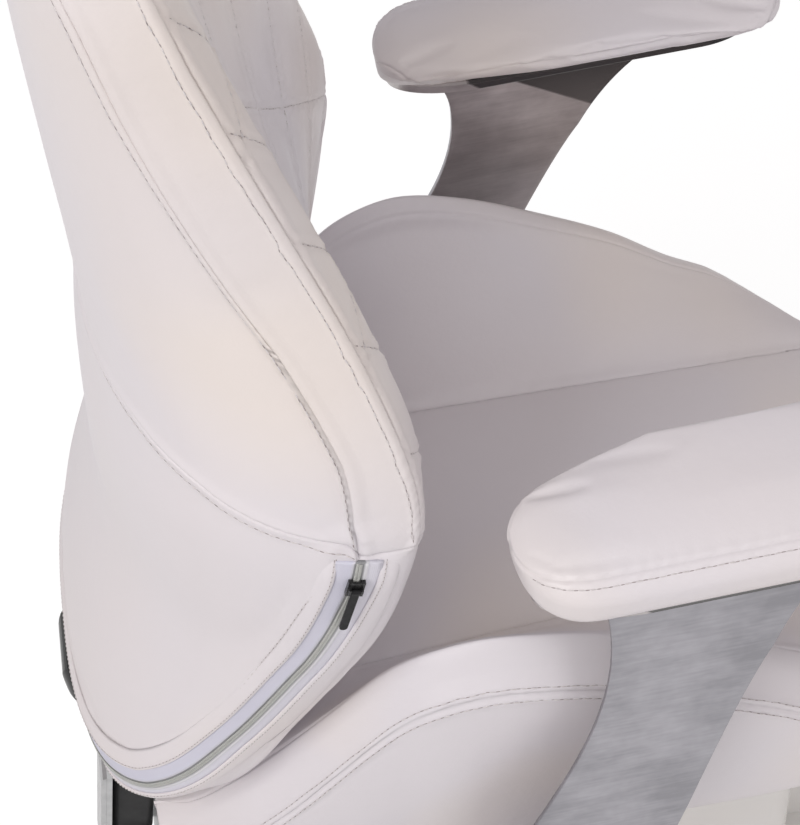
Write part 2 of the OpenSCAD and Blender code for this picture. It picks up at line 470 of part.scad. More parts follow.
module zip_pull() color("black") zip_frame(slider_i) difference() {
  union() {
    translate([-3.4, 0, pull_z]) rotate([0, 90, 0]) cylinder(r = 2, h = 6.8);
    translate([-3.2, 0, pull_z - 0.9]) cube([6.4, 46, 1.8]);
    translate([0, 46, pull_z - 0.9]) cylinder(r = 3.2, h = 1.8);
  }
  translate([-6, 0, pull_z]) rotate([0, 90, 0]) cylinder(r = 1 + run, h = 12);
}

// ======================================================================
// Base, bowl and fittings
// ======================================================================
pl_len = plinth_front - plinth_rear; pl_mid = (plinth_front + plinth_rear)/2;
foot_pts = [for (x = [-1, 1], u = [plinth_rear + 90, pl_mid, plinth_front - 110]) [x*(plinth_w/2 - 70), u]];
deck_r = 42;                             // posts for the faucet and the button
deck_a = 23.87;                          // their angle ahead of the bowl's middle
deck = [(tub_r - deck_r/2) * cos(deck_a), bowl_u + (tub_r - deck_r/2) * sin(deck_a)];
tub_room = tub_r - deck_r;               // radius of the room round the bowl
cover_half = 130;                        // half width of the pipe cover
module tub_outer(o = 0) rotate_extrude() polygon(concat([[0, plinth_h + 0.1 - o]], [[tub_r - 30 + o, plinth_h + 0.1 - o]],
  bez([tub_r - 30 + o, plinth_h + 0.2], [tub_r - 24 + o, plinth_h + 90], [tub_r - 2 + o, rim_h - 70], [tub_r + o, rim_h - 14], 8),
  bez([tub_r + o, rim_h - 10], [tub_r + o, rim_h - 3], [tub_r - 3 + o, rim_h], [tub_r - 10, rim_h], 4), [[0, rim_h]]));
module bowl_room() translate([0, Y(bowl_u), plinth_h - shell - 1]) cylinder(r = tub_room, h = rim_h - 28 - plinth_h + shell);
module pipe_room() translate([-cover_half + shell, Y(440), plinth_h - shell - 1])
  cube([2*(cover_half - shell), 440 - ped_front + 20, rim_h - 40 - plinth_h]);
// lower moulding: hollow underneath, a boss over each foot
module plinth() color("white") difference() {
  union() {
    translate([0, Y(pl_mid), foot_h]) linear_extrude(plinth_h - foot_h - 10) rrect(plinth_w, pl_len, 110);
    translate([0, Y(pl_mid), plinth_h - 10.5]) linear_extrude(10.5) rrect(plinth_w - 14, pl_len - 14, 103);
  }
  difference() {
    translate([0, Y(pl_mid), -1]) linear_extrude(plinth_h - shell + 1) rrect(plinth_w - 2*shell, pl_len - 2*shell, 102);
    for (p = foot_pts) at(p[0], p[1], -2) cylinder(r = 14, h = plinth_h);
  }
  for (p = foot_pts) at(p[0], p[1], -2) cylinder(r = 5.3, h = plinth_h - shell + 2);
  bowl_room();
  pipe_room();
}
// tub round the bowl, with a post each side and a flat for the footrest's socket
module base_tub() color("white") difference() {
  union() {
    translate([0, Y(bowl_u), 0]) tub_outer();
    for (m = [-1, 1]) at(m*deck[0], deck[1], plinth_h + 0.1) cylinder(r = deck_r, h = rim_h - plinth_h - 0.1);
    translate([-40, Y(rest_u - 28), plinth_h + 0.1]) cube([80, 40, rim_h - 30 - plinth_h]);
  }
  bowl_room();
  translate([0, Y(bowl_u), plinth_h]) cylinder(r = bowl_r + 12, h = rim_h);
  for (m = [-1, 1]) at(m*deck[0], deck[1], rim_h - 40) cylinder(r = 8.2, h = 60);
  pipe_room();
}
// cover over the pipes between the tub and the pedestal
module pipe_cover() color("white") difference() {
  translate([-cover_half, Y(450), plinth_h + 0.1]) cube([2*cover_half, 450 - ped_front - gap, rim_h - 41 - plinth_h]);
  translate([0, Y(bowl_u), 0]) tub_outer(0.3);
  pipe_room();
}
module base_feet() color("black") for (p = foot_pts) at(p[0], p[1], 0) {
  cylinder(r = foot_r, h = 4); translate([0, 0, 4]) cylinder(r1 = foot_r, r2 = 12, h = 6);
  translate([0, 0, 9]) cylinder(r = 5, h = plinth_h - shell - 9); }
ped_mid = (ped_rear + ped_front)/2; ped_len = ped_front - ped_rear;
panel_w = 300; panel_z = plinth_h + 70; panel_h = 190;
inlet_z = plinth_h + 34;
corner_r = 28;                           // pedestal's corners
plate_half = 145; plate_top = inlet_z + 30;
module pedestal() color("white") difference() {
  translate([0, Y(ped_mid), plinth_h + 0.1]) linear_extrude(pedestal_h - plinth_h - 0.1) rrect(pedestal_w, ped_len, corner_r);
  translate([0, Y(ped_mid), plinth_h - 1]) linear_extrude(pedestal_h - plinth_h - shell + 1) rrect(pedestal_w - 2*shell, ped_len - 2*shell, corner_r - shell);
  translate([-panel_w/2 + 15, Y(ped_rear) - 20, panel_z + 15]) cube([panel_w - 30, 40, panel_h - 30]);
  for (x = [-1, 1], z = [8, panel_h - 8]) translate([x*(panel_w/2 - 8), Y(ped_rear), panel_z + z]) rotate([90, 0, 0]) cylinder(r = 2.6, h = 30, center = true);
  translate([-plate_half - 0.2, Y(ped_rear) - 15, plinth_h]) cube([2*plate_half + 0.4, 30, plate_top + 0.2 - plinth_h]);
}
// plate in the rear wall that carries the inlets and the drain spigot
module connector_plate() color("whitesmoke") difference() {
  translate([-plate_half, Y(ped_rear) - shell, plinth_h + 0.1]) cube([2*plate_half, shell, plate_top - plinth_h - 0.1]);
  for (x = [-120, -70]) translate([x, Y(ped_rear), inlet_z]) rotate([90, 0, 0]) cylinder(r = 8, h = 30, center = true);
  translate([100, Y(ped_rear), inlet_z]) rotate([90, 0, 0]) cylinder(r = 18, h = 30, center = true);
  translate([-23, Y(ped_rear) - 15, inlet_z - 13]) cube([46, 30, 26]);
}
module service_panel() color("whitesmoke") difference() {
  translate([0, Y(ped_rear) + 0.2, panel_z + panel_h/2]) rotate([-90, 0, 0]) linear_extrude(4) rrect(panel_w, panel_h, 12);
  for (x = [-1, 1], z = [8, panel_h - 8]) translate([x*(panel_w/2 - 8), Y(ped_rear), panel_z + z]) rotate([90, 0, 0]) cylinder(r = 2.7, h = 30, center = true);
  for (z = [0:5]) translate([-60, Y(ped_rear) - 2, panel_z + 60 + z*14]) cube([120, 10, 5]);
}
module panel_screws() color("silver") for (x = [-1, 1], z = [8, panel_h - 8]) translate([x*(panel_w/2 - 8), Y(ped_rear) + 4.2, panel_z + z]) rotate([-90, 0, 0]) {
  cylinder(r = 4.8, h = 2.4); translate([0, 0, -15]) cylinder(r = 2.4, h = 15.5); }
module power_inlet() color("black") difference() {
  translate([0, Y(ped_rear), inlet_z]) union() {
    translate([0, 2, 0]) cube([54, 3.6, 34], center = true);
    translate([0, -9, 0]) cube([45, 20, 25], center = true); }
  difference() {
    translate([0, Y(ped_rear) - 3, inlet_z]) cube([24, 16, 17], center = true);
    for (x = [-6, 0, 6]) translate([x - 1, Y(ped_rear) - 12, inlet_z - 2]) cube([2, 14, 5]);
  }
}
module water_inlets() color("goldenrod") for (x = [-120, -70]) translate([x, Y(ped_rear) + 0.1, inlet_z]) rotate([-90, 0, 0]) difference() {
  union() { cylinder(r = 16, h = 4, $fn = 6); cylinder(r = 10.4, h = 26); translate([0, 0, -14]) cylinder(r = 7.8, h = 15); }
  translate([0, 0, -15]) cylinder(r = 5.5, h = 50); }
module drain_outlet() color("gray") translate([100, Y(ped_rear) + 0.1, inlet_z]) rotate([-90, 0, 0]) difference() {
  union() { cylinder(r = 26, h = 4); cylinder(r = 20, h = 40); translate([0, 0, -14]) cylinder(r = 17.8, h = 15); }
  translate([0, 0, -15]) cylinder(r = 15, h = 60); }
module slide_rails() color("gray") for (x = [-1, 1]) at(x*rail_x, ped_mid, pedestal_h)
  rotate([90, 0, 0]) linear_extrude(ped_len, center = true) {
    translate([-20, 0]) square([40, 3]);
    for (s = [-1, 1]) { translate([s*18.5 - 1.5, 0]) square([3, rail_h]);
      translate([s*13.4 - 6.6, rail_h - 4]) square([13.2, 4]); } }
function bowl_curve(t, n) = bez([bowl_r - t, rim_h + 2], [bowl_r - t - 4, rim_h - bowl_depth*0.5], [bowl_r*0.86 - t, rim_h - bowl_depth + t], [bowl_r*0.45, rim_h - bowl_depth + t], n);
module bowl() color("aliceblue") difference() {
  translate([0, Y(bowl_u), 0]) rotate_extrude() polygon(concat(
    [[bowl_r + 22, rim_h + 0.2], [bowl_r + 22, rim_h + 3], [bowl_r + 18, rim_h + 6], [bowl_r - 2, rim_h + 6]],
    bowl_curve(6, 14), [[21, rim_h - bowl_depth + 6], [21, rim_h - bowl_depth]],
    [for (i = [14:-1:0]) bowl_curve(0, 14)[i]], [[bowl_r, rim_h + 0.2]]));
  at(0, bowl_u, jet_z) rotate([-90, 0, 0]) cylinder(r = 38, h = tub_r);
}
jet_z = rim_h - bowl_depth*0.52;
jet_in = 0.879 * bowl_r - 9;             // inner face of the bowl at the jet
module jet_cover() color("silver") at(0, bowl_u, jet_z) rotate([-90, 0, 0]) difference() {
  union() { translate([0, 0, jet_in - 16]) cylinder(r = 44, h = 7); translate([0, 0, jet_in - 10]) cylinder(r = 37.7, h = tub_room - 8 - jet_in); }
  for (a = [0:7]) rotate([0, 0, a*45]) translate([25, 0, jet_in - 20]) cylinder(r = 5, h = 26);
  translate([0, 0, jet_in - 20]) cylinder(r = 8, h = 26); }
bowl_floor = rim_h - bowl_depth + 6;
module bowl_drain() color("silver") at(0, bowl_u, bowl_floor) difference() {
  union() { translate([0, 0, 0.1]) cylinder(r = 33, h = 2.4); translate([0, 0, -50]) cylinder(r = 20.7, h = 51); }
  difference() { translate([0, 0, -51]) cylinder(r = 16, h = 60);
    translate([0, 0, -20]) { translate([-16, -2, 0]) cube([32, 4, 5]); translate([-2, -16, 0]) cube([4, 32, 5]); cylinder(r = 7, h = 5); } }
  translate([0, 0, -52]) cylinder(r = 4 + run, h = 60); }
module drain_plug() color("silver") at(0, bowl_u, bowl_floor) {
  translate([0, 0, 2.8]) cylinder(r = 20, h = 3); translate([0, 0, -30]) cylinder(r = 4, h = 33); }
module button_bezel() color("silver") at(-deck[0], deck[1], rim_h) difference() {
  union() { translate([0, 0, 0.1]) cylinder(r = 17, h = 4); translate([0, 0, -30]) cylinder(r = 8, h = 31); }
  translate([0, 0, -22]) cylinder(r = 5, h = 40); translate([0, 0, 0.6]) cylinder(r = 11, h = 10); }
module jet_button() color("white") at(-deck[0], deck[1], rim_h) {
  translate([0, 0, 4.2]) cylinder(r = 10.6, h = 4); translate([0, 0, -16]) cylinder(r = 4.9, h = 21); }
fz = rim_h;                              // faucet deck
module faucet_body() color("silver") at(deck[0], deck[1], fz) difference() {
  union() { translate([0, 0, 0.1]) cylinder(r = 26, h = 6); cylinder(r = 20, h = 52);
    translate([0, 0, 52]) cylinder(r = 15, h = 22); translate([0, 0, 74]) cylinder(r = 20, h = 8); translate([0, 0, -30]) cylinder(r = 8, h = 31); }
  translate([0, 0, 66]) cylinder(r = 6 + run, h = 20); }
spout_dir = 180 - atan((deck[1] - bowl_u) / deck[0]);
module faucet_spout() color("silver") at(deck[0], deck[1], fz) rotate([0, 0, spout_dir]) difference() {
  union() {
    translate([0, 0, 52.3]) cylinder(r = 22, h = 21.4);
    translate([14, 0, 63]) rotate([0, 90, 0]) cylinder(r = 9, h = 96);
    translate([110, 0, 45]) cylinder(r = 9, h = 18); translate([110, 0, 63]) sphere(9);
    translate([110, 0, 39]) cylinder(r = 10.5, h = 8);
  }
  translate([0, 0, 50]) cylinder(r = 15 + run, h = 30);
  translate([110, 0, 30]) cylinder(r = 6.5, h = 30); }
module faucet_cap() color("silver") at(deck[0], deck[1], fz) {
  translate([0, 0, 67]) cylinder(r = 6, h = 16);
  difference() { translate([0, 0, 82.4]) cylinder(r = 20, h = 20); translate([-30, -4.3, 90]) cube([60, 8.6, 20]);
    translate([0, 0, 96]) rotate([90, 0, 0]) cylinder(r = 2.06, h = 60, center = true); } }
module faucet_lever() color("silver") at(deck[0], deck[1], fz + 96) difference() {
  union() { rotate([90, 0, 0]) cylinder(r = 5.4, h = 8, center = true); rotate([90, 0, 0]) cylinder(r = 2, h = 34, center = true);
    translate([0, -4, -3]) cube([34, 8, 8]); translate([30, 0, 1]) rotate([0, 78, 0]) { cylinder(r = 5, h = 52); translate([0, 0, 52]) sphere(7); } }
}
module footrest_socket() color("silver") at(0, rest_u, 0) {
  translate([0, 0, plinth_h + 60]) linear_extrude(rim_h - plinth_h - 100) difference() { square(44, center = true); square(36, center = true); }
  translate([-38, 22, plinth_h + 70]) cube([76, 5.6, rim_h - plinth_h - 130]); }
stem_top = rim_h + 56;
module footrest_stem() color("silver") at(0, rest_u, 0) {
  translate([0, 0, plinth_h + 70]) linear_extrude(stem_top - plinth_h - 70) difference() { square(35.6, center = true); square(29, center = true); }
  translate([-15.5, -15.5, stem_top - 4]) cube([31, 31, 4]);
  for (x = [-1, 1]) difference() { union() { translate([x*15 - 2.5, -12, stem_top]) cube([5, 24, 14]);
      translate([x*15, 0, stem_top + 14]) rotate([0, 90, 0]) cylinder(r = 12, h = 5, center = true); }
    translate([0, 0, stem_top + 14]) rotate([0, 90, 0]) cylinder(r = 5 + run, h = 60, center = true); } }
rest_w = 220;
module footrest_plate() color("dimgray") at(0, rest_u, stem_top + 14) {
  rotate([0, 90, 0]) cylinder(r = 5, h = 44, center = true);
  rotate([0, 90, 0]) cylinder(r = 10, h = 24, center = true);
  translate([-12, -9, 0]) cube([24, 18, 16]);
  translate([0, 0, 16]) linear_extrude(6) rrect(rest_w - 40, rest_len - 30, 20); }
function rest_ring(x) = let (k = pow(max(0, 1 - pow(abs(x) / (rest_w/2), 3.2)), 0.42), z0 = stem_top + 14 + 22.4)
  [for (j = [0:19]) let (a = 18*j, c = cos(a), s = sin(a))
    [x, Y(rest_u) + rest_len/2 * max(k, 0.35) * sgnpow(c, 0.7), z0 + 21 + (s > 0 ? 26 : 21) * max(k, 0.3) * sgnpow(s, 0.62)]];
module footrest_pad() color("ivory") skin([for (t = [1, 0.985, 0.95, 0.88, 0.78, 0.6, 0.35, 0, -0.35, -0.6, -0.78, -0.88, -0.95, -0.985, -1]) rest_ring(t * rest_w/2)]);
module switch_housing() color("black") difference() {
  translate([-250, Y(330), frame_bot + 2]) cube([60, 60, seat_bot - pan_t - frame_bot - 2]);
  translate([-251, Y(320), frame_bot + 8]) cube([9, 40, 20]); }
module switch_rocker() color("gray") at(-246, 300, frame_bot + 18) rotate([90, 0, 0]) translate([0, 0, -19.5]) linear_extrude(39)
  intersection() { translate([3, 0]) circle(9.6); translate([-9, -9]) square([11, 18]); }

plinth();
base_tub();
pipe_cover();
base_feet();
pedestal();
connector_plate();
service_panel();
panel_screws();
power_inlet();
water_inlets();
drain_outlet();
slide_rails();
bowl();
bowl_drain();
drain_plug();
jet_cover();
jet_button();
button_bezel();
faucet_body();
faucet_spout();
faucet_cap();
faucet_lever();
footrest_socket();
footrest_stem();
footrest_plate();
footrest_pad();
slide_runners();
slide_lever();
seat_frame();
seat_pan();
seat_centre();
seat_wing_left();
seat_wing_right();
arm_plate_left();
arm_plate_right();
arm_pad_left();
arm_pad_right();
arm_screws();
arm_bolts();
actuator_bracket();
actuator_body();
actuator_rod();
actuator_pins();
switch_housing();
switch_rocker();
back_frame();
hinge_pins();
back_pad();
rear_cover();
zip_tape();
zip_chain_teeth();
zip_slider();
zip_pull();
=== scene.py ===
import math
import bpy
import numpy as np
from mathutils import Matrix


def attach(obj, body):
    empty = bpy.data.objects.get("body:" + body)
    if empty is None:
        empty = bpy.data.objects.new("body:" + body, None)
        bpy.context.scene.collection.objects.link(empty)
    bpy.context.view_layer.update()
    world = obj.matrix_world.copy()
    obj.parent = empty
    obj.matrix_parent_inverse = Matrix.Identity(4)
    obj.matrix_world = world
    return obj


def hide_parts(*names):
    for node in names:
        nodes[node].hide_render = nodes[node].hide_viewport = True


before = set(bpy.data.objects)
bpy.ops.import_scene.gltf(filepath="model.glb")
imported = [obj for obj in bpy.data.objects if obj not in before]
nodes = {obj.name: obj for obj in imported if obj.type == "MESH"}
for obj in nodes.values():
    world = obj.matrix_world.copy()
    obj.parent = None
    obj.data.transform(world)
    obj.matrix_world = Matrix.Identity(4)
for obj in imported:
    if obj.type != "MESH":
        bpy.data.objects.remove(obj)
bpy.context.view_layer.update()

# ---------------------------------------------------------------------------
# Studio: a camera above and behind the chair's right arm, a white floor that
# keeps the chair's soft shadow, and large soft lamps round the chair.
# ---------------------------------------------------------------------------
eye = np.array([-1.0881, 0.4318, 2.0657])      # where the camera stands, in metres
azimuth, elevation, roll = math.radians(4.86), math.radians(50.08), math.radians(-7.38)
away = np.array([-math.cos(azimuth) * math.cos(elevation), math.sin(azimuth) * math.cos(elevation),
                 math.sin(elevation)])
level_right = np.cross(-away, [0, 0, 1.0])
level_right /= np.linalg.norm(level_right)
level_up = np.cross(level_right, -away)
view_right = math.cos(roll) * level_right + math.sin(roll) * level_up
view_up = -math.sin(roll) * level_right + math.cos(roll) * level_up
lens_data = bpy.data.cameras.new("studio_camera")
lens_data.lens, lens_data.sensor_width, lens_data.sensor_fit = 82.48, 36.0, "AUTO"
lens_data.clip_start, lens_data.clip_end = 0.05, 60
camera = bpy.data.objects.new("studio_camera", lens_data)
bpy.context.scene.collection.objects.link(camera)
place = np.eye(4)
place[:3, 0], place[:3, 1], place[:3, 2], place[:3, 3] = view_right, view_up, away, eye
camera.matrix_world = place.T.tolist()
bpy.context.scene.camera = camera
bpy.context.scene.view_settings.view_transform = "Standard"


class Maths:
    """One value in a shader: an operator between two of them adds the Math node that works it out."""

    def __init__(self, tree, socket):
        self.tree, self.socket = tree, socket

    def sum_up(self, kind, a, b):
        """A Math node of this kind, its two sockets filled with numbers or linked to values."""
        node = self.tree.nodes.new("ShaderNodeMath")
        node.operation = kind
        for slot, v in zip(node.inputs, (a, b)):
            if isinstance(v, Maths):
                self.tree.links.new(v.socket, slot)
            else:
                slot.default_value = v
        return Maths(self.tree, node.outputs[0])

    def __add__(self, o): return self.sum_up("ADD", self, o)
    def __radd__(self, o): return self.sum_up("ADD", o, self)
    def __sub__(self, o): return self.sum_up("SUBTRACT", self, o)
    def __rsub__(self, o): return self.sum_up("SUBTRACT", o, self)
    def __mul__(self, o): return self.sum_up("MULTIPLY", self, o)
    def __rmul__(self, o): return self.sum_up("MULTIPLY", o, self)
    def __truediv__(self, o): return self.sum_up("DIVIDE", self, o)
    def __pow__(self, o): return self.sum_up("POWER", self, o)

    def lowest(self, o):
        """The lower of the two values."""
        return self.sum_up("MINIMUM", self, o)

    def highest(self, o):
        """The higher of the two values."""
        return self.sum_up("MAXIMUM", self, o)


class Finish:
    """A material being made: node() adds any node from its type, its settings and its sockets' values or links."""

    def __init__(self, name):
        self.material = bpy.data.materials.new(name)
        self.material.use_nodes = True
        self.tree = self.material.node_tree
        self.tree.nodes.clear()
        self.out = self.tree.nodes.new("ShaderNodeOutputMaterial")

    def node(self, kind, settings=None, outlet=0, **sockets):
        """Adds a node: its settings first, a ramp's stops among them, then each socket by name or, as i0, by number."""
        n = self.tree.nodes.new("ShaderNode" + kind)
        for key, v in (settings or {}).items():
            if key == "stops":
                ramp = n.color_ramp
                while len(ramp.elements) < len(v):
                    ramp.elements.new(0.5)
                for e, (at, colour) in zip(ramp.elements, v):
                    e.position, e.color = at, (*colour, 1)
            else:
                setattr(n, key, v)
        for key, v in sockets.items():
            s = n.inputs[int(key[1:]) if key[0] == "i" and key[1:].isdigit() else key.replace("_", " ")]
            if isinstance(v, Maths):
                self.tree.links.new(v.socket, s)
            elif isinstance(v, tuple) and len(v) == 3 and s.type == "RGBA":
                s.default_value = (*v, 1)
            else:
                s.default_value = v
        return Maths(self.tree, n.outputs[outlet])

    def where(self, scale=(1, 1, 1)):
        """The piece's own coordinates times a scale."""
        return self.node("Mapping", Vector=self.node("TexCoord", outlet=3), Scale=scale)

    def noise(self, scale, detail=2.0, rough=0.5, stretch=(1, 1, 1)):
        """Noise over the piece's own coordinates, drawn out along the axes that stretch makes small."""
        return self.node("TexNoise", Vector=self.where(stretch), Scale=scale, Detail=detail, Roughness=rough)

    def blend(self, share, a, b):
        """Colour a where share is 0 and colour b where it is 1."""
        return self.node("Mix", {"data_type": "RGBA"}, outlet=2, i0=share, i6=a, i7=b)

    def bump(self, height, strength, distance):
        """A normal tilted by the slope of a height that stands for a distance in metres."""
        return self.node("Bump", Height=height, Strength=strength, Distance=distance)

    def surface(self, **sockets):
        """Ends the material with a Principled shader and returns it."""
        shader = self.node("BsdfPrincipled", **sockets)
        self.tree.links.new(shader.socket, self.out.inputs[0])
        return self.material


def flat_sheet(name, half, z):
    """A level square sheet at height z: its corners are half a side from the middle along both axes."""
    corners = np.array([[-1, -1, 0], [1, -1, 0], [1, 1, 0], [-1, 1, 0]], float) * half + [0, 0, z]
    mesh = bpy.data.meshes.new(name)
    mesh.from_pydata(corners.tolist(), [], [(0, 1, 2, 3)])
    thing = bpy.data.objects.new(name, mesh)
    bpy.context.scene.collection.objects.link(thing)
    return thing


# the floor shows 72 parts of glow in 100 to the camera, to gloss and through glass, and is plain white paint to other
# light, so that it looks white and keeps the chair's shadow
FLOOR_GLOW = 0.72
floor = flat_sheet("studio_floor", 14.0, -0.0008)
paint = Finish("floor_white")
dull = paint.node("BsdfDiffuse", Color=(0.86, 0.86, 0.86))
glow = paint.node("Emission", Color=(1, 1, 1), Strength=1.2)
seen = paint.node("LightPath", outlet=0)
mirrored = paint.node("LightPath", outlet=3)
through = paint.node("LightPath", outlet=6)
shows = seen.highest(mirrored).highest(through) * FLOOR_GLOW
paint.tree.links.new(paint.node("MixShader", i0=shows, i1=dull, i2=glow).socket, paint.out.inputs[0])
floor.data.materials.append(paint.material)

world = bpy.data.worlds.new("studio_air")
bpy.context.scene.world = world
world.use_nodes = True
air = world.node_tree
air.nodes.clear()
air_out = air.nodes.new("ShaderNodeOutputWorld")
lit, shown = air.nodes.new("ShaderNodeBackground"), air.nodes.new("ShaderNodeBackground")
either = air.nodes.new("ShaderNodeMixShader")
lit.inputs[0].default_value, lit.inputs[1].default_value = (1.0, 0.93, 0.94, 1), 0.44
shown.inputs[0].default_value, shown.inputs[1].default_value = (1, 1, 1, 1), 1.0
path = air.nodes.new("ShaderNodeLightPath")
air.links.new(path.outputs[0], either.inputs[0])
air.links.new(lit.outputs[0], either.inputs[1])
air.links.new(shown.outputs[0], either.inputs[2])
air.links.new(either.outputs[0], air_out.inputs[0])


def soft_lamp(name, spot, aim, size, watts, tint):
    """A square area lamp at spot, its face turned towards aim."""
    data = bpy.data.lights.new(name, "AREA")
    data.shape, data.size, data.energy, data.color = "SQUARE", size, watts, tint
    lamp = bpy.data.objects.new(name, data)
    bpy.context.scene.collection.objects.link(lamp)
    back = np.array(spot, float) - aim
    back /= np.linalg.norm(back)
    side = np.cross([0.1, 1.0, 0.05], back)
    side /= np.linalg.norm(side)
    m = np.eye(4)
    m[:3, 0], m[:3, 1], m[:3, 2], m[:3, 3] = side, np.cross(back, side), back, spot
    lamp.matrix_world = m.T.tolist()


soft_lamp("lamp_left", (-1.7, 2.2, 3.2), (0, 0.3, 0.85), 1.8, 58, (1.0, 0.985, 0.965))
soft_lamp("lamp_top", (-1.2, 0.0, 3.6), (0, 0.2, 0.6), 2.4, 14, (1.0, 0.985, 0.97))
soft_lamp("lamp_front", (-3.0, -1.9, 1.7), (0, 0, 0.7), 2.2, 21, (1.0, 0.98, 0.96))

# ---------------------------------------------------------------------------
# The back: a tall foam back in white synthetic leather. A quilted front panel
# is sewn to the side bands, a rear panel meets them above the lumbar seam, and
# every seam is folded in and topstitched.
# ---------------------------------------------------------------------------
SEAM_FLOOR = 0.590      # height of the seat's panel seam over the floor
FRONT_ZERO = 0.2975     # row Y of the arm pads' rear tips


def leather(name, base, cool, warm, patch=2.2):
    """Synthetic leather: three close tints laid out by slow noise, a fine grain and faint creases."""
    hide = Finish(name)
    cloud = hide.noise(patch, 2, 0.55, (1, 1, 0.7))
    drift = hide.noise(patch * 1.7, 1, 0.5, (0.8, 1, 1))
    colour = hide.blend(((cloud - 0.42) * 3.2).highest(0.0).lowest(1.0), cool, base)
    colour = hide.blend(((drift - 0.50) * 4.0).highest(0.0).lowest(0.85), colour, warm)
    grain = hide.noise(1500, 3, 0.6)
    crease = hide.noise(34, 4, 0.62, (1, 1, 1.4))
    first = hide.bump(crease, 0.12, 0.005)
    both = hide.node("Bump", Height=grain, Strength=0.12, Distance=0.0004, Normal=first)
    rough = 0.42 + (cloud - 0.5) * 0.12 + (grain - 0.5) * 0.05
    return hide.surface(Base_Color=colour, Roughness=rough, Normal=both, IOR=1.45)


white_hide = leather("white_leather", (0.74, 0.695, 0.70), (0.715, 0.69, 0.725), (0.765, 0.705, 0.665))
thread = Finish("sewing_thread")
twist = thread.node("TexWave", {"wave_type": "BANDS"}, outlet=1, Vector=thread.where(), Scale=900)
white_thread = thread.surface(Base_Color=thread.blend(thread.noise(160), (0.70, 0.665, 0.66), (0.61, 0.585, 0.595)),
                              Roughness=0.5, Normal=thread.bump(twist, 0.3, 0.0002))
# the needle holes' dark colour is painted shade, standing for the shadow down each hole
hole = Finish("painted_hole_shade")
painted_hole_shade = hole.surface(Base_Color=hole.blend(hole.noise(300), (0.30, 0.26, 0.26), (0.42, 0.38, 0.38)),
                           Roughness=0.8)


def smooth_table(table, v, column):
    """Value of one column of a table at v of its first column: cubic Hermite between the rows, with the slope at a row
    taken from its two neighbours."""
    t = np.asarray(table, float)
    x, y = t[:, 0], t[:, column]
    m = np.empty_like(y)
    m[0], m[-1] = (y[1] - y[0]) / (x[1] - x[0]), (y[-1] - y[-2]) / (x[-1] - x[-2])
    m[1:-1] = (y[2:] - y[:-2]) / (x[2:] - x[:-2])
    v = np.clip(v, x[0], x[-1])
    i = np.clip(np.searchsorted(x, v, "right") - 1, 0, len(x) - 2)
    w = x[i + 1] - x[i]
    s = (v - x[i]) / w
    return ((2 * s**3 - 3 * s**2 + 1) * y[i] + (s**3 - 2 * s**2 + s) * w * m[i]
            + (3 * s**2 - 2 * s**3) * y[i + 1] + (s**3 - s**2) * w * m[i + 1])


def eased(n, ends=0.5):
    """n steps from 0 towards 1, closer together at both ends: a share of the cosine ramp mixed with even steps."""
    t = np.arange(n) / n
    return (1 - ends) * t + ends * 0.5 * (1 - np.cos(np.pi * t))


def finer(a, axis, closed=False, cubic=True):
    """An array with a value between each two along one axis: the four-point cubic rule, or the plain middle."""
    a = np.moveaxis(np.asarray(a, float), axis, 0)
    if closed:
        w = np.concatenate([a[-1:], a, a[:2]])
    else:
        w = np.concatenate([2 * a[:1] - a[1:2], a, 2 * a[-1:] - a[-2:-1]])
    mid = (9 * (w[1:-2] + w[2:-1]) - w[:-3] - w[3:]) / 16 if cubic else (w[1:-2] + w[2:-1]) / 2
    out = np.empty((len(a) + len(mid),) + a.shape[1:])
    out[0::2], out[1::2] = a, mid
    return np.moveaxis(out, 0, axis)


def normals_of(p):
    """Unit normals of a grid of rings, pointing away from the rings' middles: the cross product of the steps along and
    around."""
    n = np.cross((np.roll(p, -1, 1) - np.roll(p, 1, 1)) / 2, np.gradient(p, axis=0))
    n /= np.maximum(np.linalg.norm(n, axis=-1, keepdims=True), 1e-12)
    out = np.einsum("ijk,ijk->", n, p - p.mean(1, keepdims=True))
    return n if out > 0 else -n


def steps_from(p, column):
    """Distance along each ring from one column, the shorter way round."""
    gap = np.linalg.norm(np.roll(p, -1, 1) - p, axis=-1)
    run = np.concatenate([np.zeros((len(p), 1)), np.cumsum(gap, 1)], 1)
    there = np.abs(run[:, :-1] - run[:, column][:, None])
    return np.minimum(there, run[:, -1:] - there)


def rise_from(p, row):
    """Distance along each column from one ring."""
    gap = np.linalg.norm(np.diff(p, axis=0), axis=-1)
    run = np.concatenate([np.zeros((1, p.shape[1])), np.cumsum(gap, 0)], 0)
    return np.abs(run - run[row])


def way_gap(p, line):
    """Distance of each point from a polyline: the least distance to its segments, taken one segment at a time."""
    best = np.full(p.shape[:-1], 9.0)
    for a, b in zip(line[:-1], line[1:]):
        d = b - a
        t = np.clip(((p - a) @ d) / max(d @ d, 1e-12), 0, 1)
        best = np.minimum(best, np.linalg.norm(p - a - t[..., None] * d, axis=-1))
    return best


def mesh_piece(name, verts, faces, material):
    """A mesh from points and faces, smooth shaded, its faces turned outwards by its signed volume."""
    mesh = bpy.data.meshes.new(name)
    mesh.from_pydata(verts.tolist(), [], faces)
    mesh.materials.append(material)
    mesh.polygons.foreach_set("use_smooth", np.ones(len(mesh.polygons), bool))
    mesh.calc_loop_triangles()
    tri = np.empty(len(mesh.loop_triangles) * 3, np.int64)
    mesh.loop_triangles.foreach_get("vertices", tri)
    a, b, c = (verts[tri.reshape(-1, 3)[:, k]] for k in range(3))
    if np.einsum("ij,ij->", a, np.cross(b, c)) < 0:
        mesh.flip_normals()
    thing = bpy.data.objects.new(name, mesh)
    bpy.context.scene.collection.objects.link(thing)
    return thing


